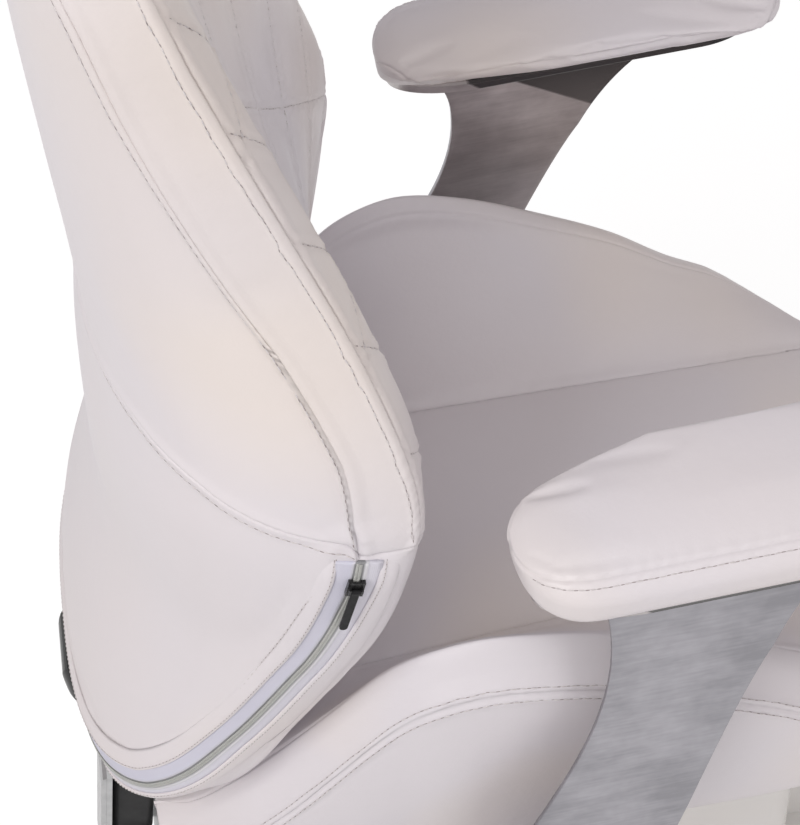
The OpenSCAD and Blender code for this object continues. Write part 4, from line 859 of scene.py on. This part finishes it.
def ring_curve(pts, t, corners=()):
    """A closed curve through each row's points at places t, Catmull-Rom between points and sharp at the corners."""
    n = pts.shape[1]
    i = np.floor(t).astype(int) % n
    f = (t - np.floor(t))[None, :, None]
    before, a, b, after = (pts[:, (i + k) % n] for k in (-1, 0, 1, 2))
    sharp_a, sharp_b = (np.isin((i + k) % n, corners)[None, :, None] for k in (0, 1))
    ma = np.where(sharp_a, b - a, (b - before) / 2)
    mb = np.where(sharp_b, b - a, (after - a) / 2)
    return ((2 * f**3 - 3 * f**2 + 1) * a + (f**3 - 2 * f**2 + f) * ma
            + (3 * f**2 - 2 * f**3) * b + (f**3 - f**2) * mb)


def spread(marks, counts, ends):
    """Places from mark to mark, so many in each part and closer together beside the marks."""
    return np.concatenate([a + (b - a) * eased(n, e) for a, b, n, e in zip(marks[:-1], marks[1:], counts, ends)])


wing_u = np.append(spread([-335, -300, 418, 478], [6, 74, 14], [0.4, 0.1, 0.2]), 478)
wing_t = spread([0, 4, 8, 12, 16], [22, 14, 16, 10], [0.55, 0.75, 0.55, 0.2])
sewn_cols = (0, 22, 36)     # columns of the panel seam, the crest seam and the seam over the outer face
for side, node in ((-1, "seat_wing_right"), (1, "seat_wing_left")):
    def wing_grid(u, t):
        """Rings of a wing at u through the outline's points at t, sharp at the panel seam and beside the board."""
        q = ring_curve(wing_points(u), t, (0, 12, 14))
        return to_row(q[..., 0] * side, u[:, None] + 0 * t[None], q[..., 1])

    base = wing_grid(wing_u, wing_t)
    gaps = [steps_from(base, c) for c in sewn_cols]
    ends = np.minimum(rise_from(base, 0), rise_from(base, len(base) - 1))
    held = np.maximum.reduce([bell(g, 0.008) for g in gaps]
                             + [bell(ends, 0.02), np.clip((0.475 - base[..., 2]) / 0.02, 0, 1)])
    swell = puffed(base, held, 0.0025, 0.006)
    u, t = finer(wing_u, 0, cubic=False), finer(np.append(wing_t, 16), 0, cubic=False)[:-1]
    base = wing_grid(u, t)
    gaps = [steps_from(base, 2 * c) for c in sewn_cols]
    skin = base + finer(finer(swell, 0), 1, closed=True)
    sink = fold(gaps[0], 0.0012, 0.0020) + fold(gaps[1], 0.0022, 0.0018) + fold(gaps[2], 0.0034, 0.0017)
    sink += (pucker(base, gaps[2], 0.014, 0.00045, 0.016) + pucker(base, gaps[1], 0.019, 0.0003)
             + pucker(base, gaps[0], 0.028, 0.00035, 0.02))
    sink -= 0.0011 * bell(gaps[2] - 0.0075, 0.0035)
    skin -= normals_of(skin) * sink[..., None]
    skin[..., 2] = np.maximum(skin[..., 2], BOARD_TOP)
    out = normals_of(skin)
    cover = closed_skin(node.replace("seat_wing", "wing_cover"), skin, white_hide)
    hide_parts(node)
    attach(cover, "carriage")
    stitched = skin[np.searchsorted(u, -260):np.searchsorted(u, 470)]
    for offset in (-0.0085, 0.0085):        # a row on both sides of the seam over the outer face
        sewn("carriage", beside(stitched, 2 * sewn_cols[2], offset), skin, out)

# centre cushion: a crowned top with tucked edges, rounded over in front
CENTRE_OUT, CENTRE_DOWN, CENTRE_CROWN = 3.4, 1.2, 14       # mm past and under the panel seam, and the crown's rise
CENTRE_TOP_COLS = 34
centre_u = np.append(spread([-262, -215, 400, 478], [8, 60, 18], [0.2, 0.1, 0.3]), 478)


def centre_grid(u, n_top, n_side, n_low):
    """Rings of the centre cushion: the top's crown is a power curve of the share of the half width; the sides fall
    straight to its flat underside."""
    w = (panel_edge(u) + CENTRE_OUT)[:, None]
    zt = (seat_top(u) - CENTRE_DOWN)[:, None]
    s = 1 - 2 * np.append(eased(n_top, 0.35), 1)[None]
    top = np.stack([w * s, zt + CENTRE_CROWN * np.clip(1 - np.abs(s) ** 2.2, 0, 1) ** 0.8], -1)
    v = (np.arange(n_side) + 1)[None] / n_side
    z_side = zt + (CUSHION_FLOOR - zt) * v
    left = np.stack([-w + 3 * v**3 + 0 * zt, z_side], -1)
    x_low = -w + 3 + (2 * w - 6) * (np.arange(n_low) + 1)[None] / n_low
    low = np.stack([x_low, CUSHION_FLOOR + 0 * x_low], -1)
    right = np.stack([w - 3 * (1 - v)**3, (CUSHION_FLOOR + (zt - CUSHION_FLOOR) * v)], -1)[:, :-1]
    ring = np.concatenate([top, left, low, right], 1)
    return to_row(ring[..., 0], u[:, None] + 0 * ring[..., 0], ring[..., 1])


base = centre_grid(centre_u, CENTRE_TOP_COLS, 8, 12)
ends = np.minimum(rise_from(base, 0), rise_from(base, len(base) - 1))
edge_gap = np.minimum(steps_from(base, 0), steps_from(base, CENTRE_TOP_COLS))
held = np.maximum.reduce([bell(edge_gap, 0.01), bell(ends, 0.02),
                          np.clip((0.575 - base[..., 2]) / 0.03, 0, 1) * (base[..., 1] > -0.1)])
skin = base + blown(base, held, 0.0035)
skin -= normals_of(skin) * pucker(base, edge_gap, 0.026, 0.0004, 0.03)[..., None]
skin[..., 2] = np.maximum(skin[..., 2], BOARD_TOP)
cover = closed_skin("centre_cover", skin, white_hide)
soft = cover.modifiers.new("finer", "SUBSURF")
soft.levels = soft.render_levels = 1
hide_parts("seat_centre")
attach(cover, "carriage")

# ---------------------------------------------------------------------------
# Arm pads: egg-shaped foam pads, a top panel sewn to a side band all round,
# with one row of topstitching on the band.
# ---------------------------------------------------------------------------
PAD_LENGTH, PAD_HALF, PAD_X, PAD_Z = 388.0, 73.0, 283.0, 925.0     # PAD_X and PAD_Z are the middle's place
INNER_HALF, INNER_LIFT = 69.0, 20.0     # half width on the inner side and rise of the inner edge
PAD_RISE, PAD_DROP, SEAM_ANGLE = 21, 24, 44.4       # crown and underside beyond the tips', and the seam's angle outside


def blunt(v, e, p, q):
    """Share of the full width at v from a tip: 1 beyond e, and a super-ellipse of powers p and 1 / q up to there."""
    return np.where(v >= e, 1, np.clip(1 - np.clip(1 - v / e, 0, 1) ** p, 0, 1) ** q)


def pad_point(u, a, m):
    """Point of an arm pad at u mm from its rear tip and angle a: a super-ellipse across, blunt outside and tapered
    inside at the rear, whose inner edge stands high, so that its underside slants down to the steel plate."""
    v = np.minimum(u, PAD_LENGTH - u)
    outer = PAD_HALF * blunt(v, 64, 2.5, 0.4)
    inner = INNER_HALF * blunt(v, np.where(u < PAD_LENGTH / 2, 185, 90), 2.2, 0.4545)
    k = np.sqrt(np.clip(1 - (1 - np.minimum(1, v / 46)) ** 2, 0, 1))
    c, s = np.cos(a), np.sin(a)
    tip = np.where(c > 0, 0, INNER_LIFT * k * np.minimum(1, v / 120))
    under = (c <= 0) & (s <= 0)
    power = np.where(s > 0, 0.74, np.where(under, 1.4 - 0.9 * (1 - k), 0.5))
    x = np.where(c > 0, outer, inner) * np.sign(c) * np.abs(c) ** power
    crown, floor_z = 6 + PAD_RISE * k, -(8 + PAD_DROP * k)
    upper = tip + (crown - tip) * np.abs(s) ** 0.9
    lower = tip + (floor_z - tip) * np.abs(s) ** np.where(under, 2.0, 0.5)
    return to_row(m * (PAD_X + x), u + 0 * x, PAD_Z + np.where(s > 0, upper, lower))


def pad_grid(u, a, m):
    """Rings of a pad: every angle a at every u."""
    return pad_point(u[:, None], a[None], m)


def pad_seam(below, m, whole=True):
    """The sewn line round a pad, or a line below it on the outer side only: at 44 degrees outside, sinking under the
    inner edge past both tips."""
    u = 0.6 + (PAD_LENGTH - 1.2) * (1 - np.cos(np.pi * np.linspace(0, 1, 110))) / 2
    if not whole:
        u = u[(u > 9) & (u < PAD_LENGTH - 9)]
    outer = pad_point(u, np.radians(SEAM_ANGLE - below + 0 * u), m)
    if not whole:
        return outer
    past = np.clip(np.minimum(u, PAD_LENGTH - u) / 55, 0, 1)
    fall = np.radians(SEAM_ANGLE - 96 * past ** 2 * (3 - 2 * past))
    inner = pad_point(u, np.pi - fall, m)
    return np.concatenate([outer, inner[::-1], outer[:1]])


PAD_COLS = 72
pad_u = np.concatenate([[0.3, 1.5], 3 + (PAD_LENGTH - 6) * np.append(eased(84, 0.55), 1),
                        [PAD_LENGTH - 1.5, PAD_LENGTH - 0.3]])
pad_a = 2 * np.pi * (np.arange(PAD_COLS) + 0.5) / PAD_COLS
for m, node in ((-1, "arm_pad_right"), (1, "arm_pad_left")):
    base = pad_grid(pad_u, pad_a, m)
    seam = pad_seam(0, m)
    gap = way_gap(base, seam)
    held = np.maximum(bell(gap, 0.007), np.clip((0.899 - base[..., 2]) / 0.008, 0, 1))
    swell = puffed(base, held, 0.0022, 0.005, 5.0)
    u, a = finer(pad_u, 0, cubic=False), np.arange(2 * PAD_COLS) * 2 * np.pi / (2 * PAD_COLS) + pad_a[0]
    base = pad_grid(u, a, m) + finer(finer(swell, 0), 1, closed=True)
    gap = way_gap(base, seam)
    sink = fold(gap, 0.0026, 0.0018) + pucker(base, gap, 0.013, 0.0004, 0.010)
    skin = base - normals_of(base) * sink[..., None]
    out = normals_of(skin)
    cover = closed_skin(node.replace("arm_pad", "pad_cover"), skin, white_hide)
    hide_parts(node)
    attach(cover, "carriage")
    sewn("carriage", pad_seam(11.5, m, whole=False), skin, out)

# ---------------------------------------------------------------------------
# Footrest pad: a small loaf of foam in the same leather, sewn together round its
# middle, which sits on the plate at the top of its stem.
# ---------------------------------------------------------------------------
# half length, half depth, rise over and drop under the seam, and the middle's row Y and height, all in mm
REST_LONG, REST_DEEP, REST_RISE, REST_DROP, REST_Y, REST_Z = 110, 60, 26, 21, -688.5, 443.4
REST_COLS = 56
rest_x = REST_LONG * np.concatenate([[-0.999], -1 + 2 * (eased(60, 0.6)[1:]), [0.999]])
rest_a = 2 * np.pi * np.arange(REST_COLS) / REST_COLS
# each ring is a super-ellipse, and its size falls off towards both ends as another one
k = np.clip(1 - np.abs(rest_x / REST_LONG) ** 3.2, 0, 1) ** 0.42
c, s = np.cos(rest_a)[None], np.sin(rest_a)[None]
across = REST_DEEP * np.maximum(k, 0.35)[:, None] * np.sign(c) * np.abs(c) ** 0.7
tall = np.where(s > 0, REST_RISE, REST_DROP) * np.maximum(k, 0.3)[:, None] * np.sign(s) * np.abs(s) ** 0.62
base = np.stack([rest_x[:, None] + 0 * across, across + REST_Y, REST_Z + tall], -1) / 1000
seam_gap = np.minimum(steps_from(base, 0), steps_from(base, REST_COLS // 2))
held = np.maximum(bell(seam_gap, 0.006), np.clip((0.428 - base[..., 2]) / 0.006, 0, 1))
skin = base + puffed(base, held, 0.002, 0.004)
skin -= normals_of(skin) * (fold(seam_gap, 0.0022, 0.0018) + pucker(base, seam_gap, 0.015, 0.0004))[..., None]
cover = closed_skin("footrest_cover", skin, white_hide)
soft = cover.modifiers.new("finer", "SUBSURF")
soft.levels = soft.render_levels = 1
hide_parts("footrest_pad")
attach(cover, "footrest")

# ---------------------------------------------------------------------------
# Arm plates: each arm is one 5 mm steel plate, cut out, bent under the seat and
# welded to the flange that the pad is screwed to. Outside brushed, inside polished.
# ---------------------------------------------------------------------------
PLATE_X, PLATE_TOP, PLATE_LEAN = 297, 884.6, math.radians(10)   # the inner face at its top, and its lean outwards
PLATE_THICK, BEND, BEND_Z, TONGUE_X = 5, 20.0, 453.0, 150       # the bend's radius and middle, and the tongue's end


def bezier(points, n):
    """n points of a cubic curve, its last point left out."""
    t = (np.arange(n) / n)[:, None]
    a, b, c, d = np.array(points, float)
    return (1 - t)**3 * a + 3 * t * (1 - t)**2 * b + 3 * t**2 * (1 - t) * c + t**3 * d


# the plate's two cut edges, as points and handles of three cubic curves each: mm ahead of the pads' rear tips, and mm
# below the plate's top
cut_front = [[[308, 0], [262, 6], [225, 55], [203, 110]], [[203, 110], [180, 150], [152, 228], [131, 285]],
             [[131, 285], [118, 320], [88, 380], [85, 480]]]
cut_rear = [[[48, 0], [66, 12], [72, 40], [72, 65]], [[72, 65], [74, 150], [30, 220], [-2, 274]],
            [[-2, 274], [-34, 328], [-60, 380], [-60, 480]]]
front_edge, rear_edge = (np.concatenate([bezier(b, 24) for b in cut] + [[cut[-1][-1]]])
                         for cut in (cut_front, cut_rear))
# way of the plate's inner face, from the flange down, round the bend and in under the seat: x, z and the outward angle
LEAN_ROWS, BEND_ROWS, TONGUE_ROWS = 69, 14, 15
bend_end = BEND_Z + BEND * math.sin(PLATE_LEAN)
bend_x = (PLATE_X + (PLATE_TOP - BEND_Z - BEND * math.sin(PLATE_LEAN)) * math.tan(PLATE_LEAN)
          - BEND * math.cos(PLATE_LEAN))
lean_z = np.linspace(PLATE_TOP + 0.9, bend_end, LEAN_ROWS + 1)[:-1]
turn = np.linspace(PLATE_LEAN, -np.pi / 2, BEND_ROWS)
inward = np.linspace(bend_x, TONGUE_X, TONGUE_ROWS + 1)[1:]
way_x = np.concatenate([PLATE_X + (PLATE_TOP - lean_z) * math.tan(PLATE_LEAN), bend_x + BEND * np.cos(turn), inward])
way_z = np.concatenate([lean_z, BEND_Z + BEND * np.sin(turn), np.full(TONGUE_ROWS, BEND_Z - BEND)])
way_a = np.concatenate([np.full(LEAN_ROWS, PLATE_LEAN), turn, np.full(TONGUE_ROWS, -np.pi / 2)])
drop = PLATE_TOP - way_z
front_u, rear_u = (np.interp(drop, edge[:, 1], edge[:, 0]) for edge in (front_edge, rear_edge))
# the section round the plate: share of the way from the front edge to the rear one, inset from it, and depth from the
# inner face
s = np.append(eased(15, 0.4), 1)
section = np.concatenate([np.stack([s, 0.8 * (1 - 2 * s), 0 * s], 1),
                          [[1, -0.25, 0.25], [1, 0, 0.8], [1, 0, 4.2], [1, -0.25, 4.75]],
                          np.stack([1 - s, 0.8 * (2 * s - 1), PLATE_THICK + 0 * s], 1),
                          [[0, 0.25, 4.75], [0, 0, 4.2], [0, 0, 0.8], [0, 0.25, 0.25]]])
# the flange under the pad, from u = 12 to 368: a leaf of super-elliptic outline, drawn out longer at the rear
FLANGE_FROM, FLANGE_TO, FLANGE_HALF, FLANGE_OUT, FLANGE_LIFT = 12, 368, 36, 21, 0.2
flange_u = np.concatenate([[12.0], FLANGE_FROM + 356 * (1 - np.cos(np.pi * np.linspace(0.02, 0.98, 70))) / 2, [368.0]])
flange_end = np.minimum(flange_u - FLANGE_FROM, FLANGE_TO - flange_u)
from_tip = np.clip(flange_end / np.where(flange_u < 190, 90, 60), 0, 1)
flange_half = FLANGE_HALF * np.maximum(0.06, (1 - (1 - from_tip) ** 2.2) ** 0.5)
# its section: share of the half width, height, and mm drawn in, which breaks the lower edge and cuts a fine line round
# the upper one
brink = np.array([[-1, 0, 0.9], [-0.6, 0, 0.9], [0, 0, 0.9], [0.6, 0, 0.9], [1, 0, 0.9], [1, 0.25, 0.25], [1, 1, 0],
                  [1, 7, 0.9], [1, 7.75, 0.25], [1, 8, 0], [0.6, 8, 0], [0, 8, 0], [-0.6, 8, 0], [-1, 8, 0],
                  [-1, 7.75, 0.25], [-1, 7, 0.9], [-1, 1, 0], [-1, 0.25, 0.25]])
# each hexagon screw has a six-sided head under the flange and a shank up into the pad: [share of the head's half width,
# height over the flange's underside, six-sided or round]
SCREW_HALF, SCREW_OUT, SCREW_PLACES = 7.2, 12, (92, 190, 310)
screw_profile = [(0.3, -4.5, 0), (0.93, -4.5, 0), (1, -4.1, 1), (1, -0.3, 1), (0.97, 0.1, 1), (0.5, 0.15, 0),
                 (0.5, 20, 0), (0.2, 20, 0)]
ring = 2 * np.pi * np.arange(24) / 24
hexagon = SCREW_HALF / np.cos((ring % (np.pi / 3)) - np.pi / 6) * math.cos(math.pi / 6)
screw_radii = [(hexagon if six else SCREW_HALF) * share for share, _, six in screw_profile]
screw = np.stack([np.stack([radius * np.cos(ring), radius * np.sin(ring), up + 0 * ring], -1)
                  for radius, (_, up, _) in zip(screw_radii, screw_profile)])


def steel(name, dark, light, smooth, rough, painted_reflection_tint=None):
    """Satin stainless steel: cloudy polish, long faint grinding lines, and smears that show in its roughness. If a dark
    reflection tint is given, the part ahead of a slanting line is painted with it as a painted dark reflection, and is
    smoother there; lower down the colour leans towards the light tint."""
    f = Finish(name)
    cloud = f.noise(14, 4, 0.6)
    smear = f.noise(46, 3, 0.65, (1, 0.35, 1.3))
    lines = f.noise(420, 2, 0.5, (1, 0.06, 1))
    tone = ((cloud - 0.35) * 1.5 + (smear - 0.5) * 0.9 + (lines - 0.5) * 0.35).highest(0.0).lowest(1.0)
    colour, shine = f.blend(tone, dark, light), smooth + (smear * 0.6 + cloud * 0.4) * (rough - smooth)
    if painted_reflection_tint:
        place_in = f.node("TexCoord", outlet=3)
        y, z = (f.node("SeparateXYZ", outlet=k, Vector=place_in) for k in (1, 2))
        # the line is 122 mm ahead of the pads' rear tips at 0.865 m of height, and 1.41 mm further for each mm down
        painted_reflection_share = (((FRONT_ZERO - 0.122) - y - (0.865 - z) * 1.41) * 260.0).highest(0.0).lowest(1.0)
        # painted reflection: ahead of the line the steel's colour turns to the given near-black tint, standing for a
        # dark reflection
        colour = f.blend(painted_reflection_share, colour, painted_reflection_tint)
        # lower on the plate the colour leans towards the light tint, most below 0.66 m
        colour = f.blend(((z - 0.66) * 4.0).highest(0.0).lowest(0.8), f.blend(0.35, colour, light), colour)
        shine = shine * (1.0 - painted_reflection_share * 0.7)
    return f.surface(Base_Color=colour, Metallic=0.95, Roughness=shine,
                     Normal=f.bump(lines + smear * 0.5, 0.10, 0.0004))


satin = steel("arm_steel_satin", (0.27, 0.265, 0.285), (0.50, 0.485, 0.52), 0.24, 0.48)
# the inner steel carries a painted dark reflection: ahead of a slanting line its colour is the last, near-black tint
inner_steel_with_painted_reflection = steel("arm_steel_inner", (0.40, 0.37, 0.37), (0.80, 0.76, 0.75), 0.20, 0.44, (0.030, 0.028, 0.029))
for m, node in ((-1, "arm_plate_right"), (1, "arm_plate_left")):
    depth = section[:, 2]
    u_at = front_u[:, None] + (rear_u - front_u)[:, None] * section[:, 0] - section[:, 1]
    p = to_row(m * (way_x[:, None] + depth * np.cos(way_a)[:, None]), u_at,
               way_z[:, None] + depth * np.sin(way_a)[:, None])
    plate = closed_skin(node.replace("arm_plate", "arm_blade"), p, satin)
    plate.data.materials.append(inner_steel_with_painted_reflection)
    r, c = p.shape[:2]
    index = np.arange(len(plate.data.polygons))
    inner_face = (index < (r - 1) * c) & (index % c < len(s))
    plate.data.polygons.foreach_set("material_index", inner_face.astype(np.int32))
    edge_x = brink[:, 0] * (flange_half[:, None] - brink[:, 2])
    p = to_row(m * (PAD_X + FLANGE_OUT + edge_x), flange_u[:, None] + 0 * edge_x,
               PLATE_TOP + FLANGE_LIFT + brink[:, 1] + 0 * edge_x)
    flange = closed_skin(node.replace("arm_plate", "pad_flange"), p, inner_steel_with_painted_reflection)
    fasteners = []
    for k, screw_u in enumerate(SCREW_PLACES):
        p = to_row(m * (PAD_X + SCREW_OUT + screw[..., 0]), screw_u + screw[..., 1],
                   PLATE_TOP + FLANGE_LIFT + screw[..., 2])
        fasteners.append(closed_skin("arm_screw_%s_%d" % (node[10:], k), p, satin))
    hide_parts(node)
    for thing in [plate, flange] + fasteners:
        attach(thing, "carriage")
    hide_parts("arm_screws")

# ---------------------------------------------------------------------------
# The other pieces keep their CAD shapes: moulded acrylic, plastics, rubber,
# metals, plywood and powder coat, each with its own wear and grain.
# ---------------------------------------------------------------------------
def dress(names, name, one, two, smooth, rough, metal=0.0, coat=0.0, cloud=30, grain=900, rise=0.08, deep=0.0003,
          stretch=(1, 1, 1), ior=1.45):
    """Fills CAD nodes' material slots with a finish: two tints laid out by slow noise, roughness that wanders between
    two values, and a fine grain."""
    f = Finish(name)
    tone, fine = f.noise(cloud, 3, 0.55, stretch), f.noise(grain, 2, 0.5, stretch)
    share = ((tone - 0.35) * 2.6).highest(0.0).lowest(1.0)
    made = f.surface(Base_Color=f.blend(share, one, two), Metallic=metal,
                     Roughness=smooth + (tone * 0.7 + fine * 0.3) * (rough - smooth),
                     Coat_Weight=coat, Coat_Roughness=0.08, IOR=ior, Normal=f.bump(fine, rise, deep))
    for node in names.split():
        for slot in nodes[node].material_slots:
            slot.material = made


# the moulded tub and its covers, and the bowl set into it
dress("plinth base_tub pipe_cover pedestal", "white_acrylic", (0.80, 0.79, 0.77), (0.755, 0.75, 0.74), 0.14, 0.26,
      coat=0.4, cloud=4, grain=110, rise=0.05, deep=0.001)
dress("connector_plate service_panel", "white_panel", (0.74, 0.735, 0.72), (0.69, 0.69, 0.685), 0.36, 0.50,
      cloud=16, grain=1300)
dress("base_feet", "foot_rubber", (0.022, 0.022, 0.023), (0.045, 0.044, 0.043), 0.72, 0.92, grain=600, rise=0.25)
dress("bowl", "bowl_glaze", (0.80, 0.81, 0.82), (0.76, 0.775, 0.79), 0.06, 0.16,
      coat=0.5, cloud=7, grain=90, rise=0.04, deep=0.001)
# fittings: screws and pins, power, water and drain, taps, jet and footrest stem
dress("panel_screws footrest_socket arm_bolts actuator_pins hinge_pins", "bright_steel",
      (0.62, 0.62, 0.63), (0.48, 0.48, 0.49), 0.16, 0.34, 1.0, cloud=120, grain=1500)
dress("power_inlet switch_housing", "black_plastic", (0.018, 0.018, 0.019), (0.034, 0.034, 0.036), 0.34, 0.52,
      cloud=60, grain=1700, rise=0.15)
dress("water_inlets", "brass", (0.72, 0.52, 0.24), (0.56, 0.40, 0.18), 0.2, 0.4, 1.0, cloud=90)
dress("drain_outlet switch_rocker", "grey_plastic", (0.27, 0.275, 0.28), (0.21, 0.215, 0.22), 0.36, 0.5,
      cloud=50, grain=1400)
dress("bowl_drain drain_plug jet_cover button_bezel faucet_body faucet_spout faucet_cap faucet_lever footrest_stem "
      "actuator_rod", "chrome_plate", (0.88, 0.89, 0.90), (0.79, 0.80, 0.81), 0.03, 0.12, 1.0,
      cloud=80, grain=300, rise=0.02)
dress("jet_button", "button_plastic", (0.78, 0.79, 0.80), (0.72, 0.73, 0.74), 0.2, 0.34, cloud=60)
# the slide, the frames and the recline actuator
dress("slide_rails slide_runners", "zinc_steel", (0.56, 0.58, 0.60), (0.40, 0.42, 0.45), 0.22, 0.46, 0.95,
      cloud=55, grain=500, stretch=(1, 0.15, 1))
dress("footrest_plate slide_lever seat_frame back_frame", "grey_powder_coat",
      (0.30, 0.305, 0.315), (0.235, 0.24, 0.25), 0.42, 0.62, cloud=35, grain=850, rise=0.3)
dress("actuator_bracket", "silver_paint", (0.50, 0.505, 0.51), (0.41, 0.415, 0.42), 0.3, 0.46, 0.6,
      cloud=60, grain=1200)
dress("actuator_body", "satin_black", (0.016, 0.016, 0.017), (0.03, 0.03, 0.031), 0.30, 0.46,
      cloud=40, grain=1500, rise=0.15, ior=1.2)
# the cover behind the seat, and the zip's slider and pull
dress("rear_cover", "gloss_black", (0.010, 0.010, 0.011), (0.02, 0.02, 0.021), 0.16, 0.28,
      cloud=12, grain=140, rise=0.05, deep=0.0006, ior=1.22)
dress("zip_slider", "black_enamel", (0.012, 0.012, 0.013), (0.05, 0.05, 0.05), 0.16, 0.36, 0.3, cloud=260, grain=1600)
dress("zip_pull", "black_pull", (0.014, 0.014, 0.015), (0.028, 0.028, 0.03), 0.3, 0.5,
      cloud=200, grain=1800, rise=0.2, ior=1.2)
# the seat board's birch plywood: glue lines between the plies, and a grain that runs front to back
plies = Finish("birch_plywood")
height = plies.node("SeparateXYZ", outlet=2, Vector=plies.where())
ply = plies.node("Math", {"operation": "SINE"}, i0=height * 2600.0)
figure = plies.noise(9, 4, 0.6, (1, 0.12, 6))
wood = plies.blend(figure, (0.64, 0.49, 0.31), (0.50, 0.36, 0.21))
board = plies.surface(Base_Color=plies.blend((ply * 0.5 + 0.5) * 0.3, wood, (0.36, 0.24, 0.13)),
                      Roughness=0.5 + figure * 0.25,
                      Normal=plies.bump(plies.noise(260, 3, 0.6, (1, 0.08, 1)), 0.15, 0.0005))
for slot in nodes["seat_pan"].material_slots:
    slot.material = board

make_stitches()
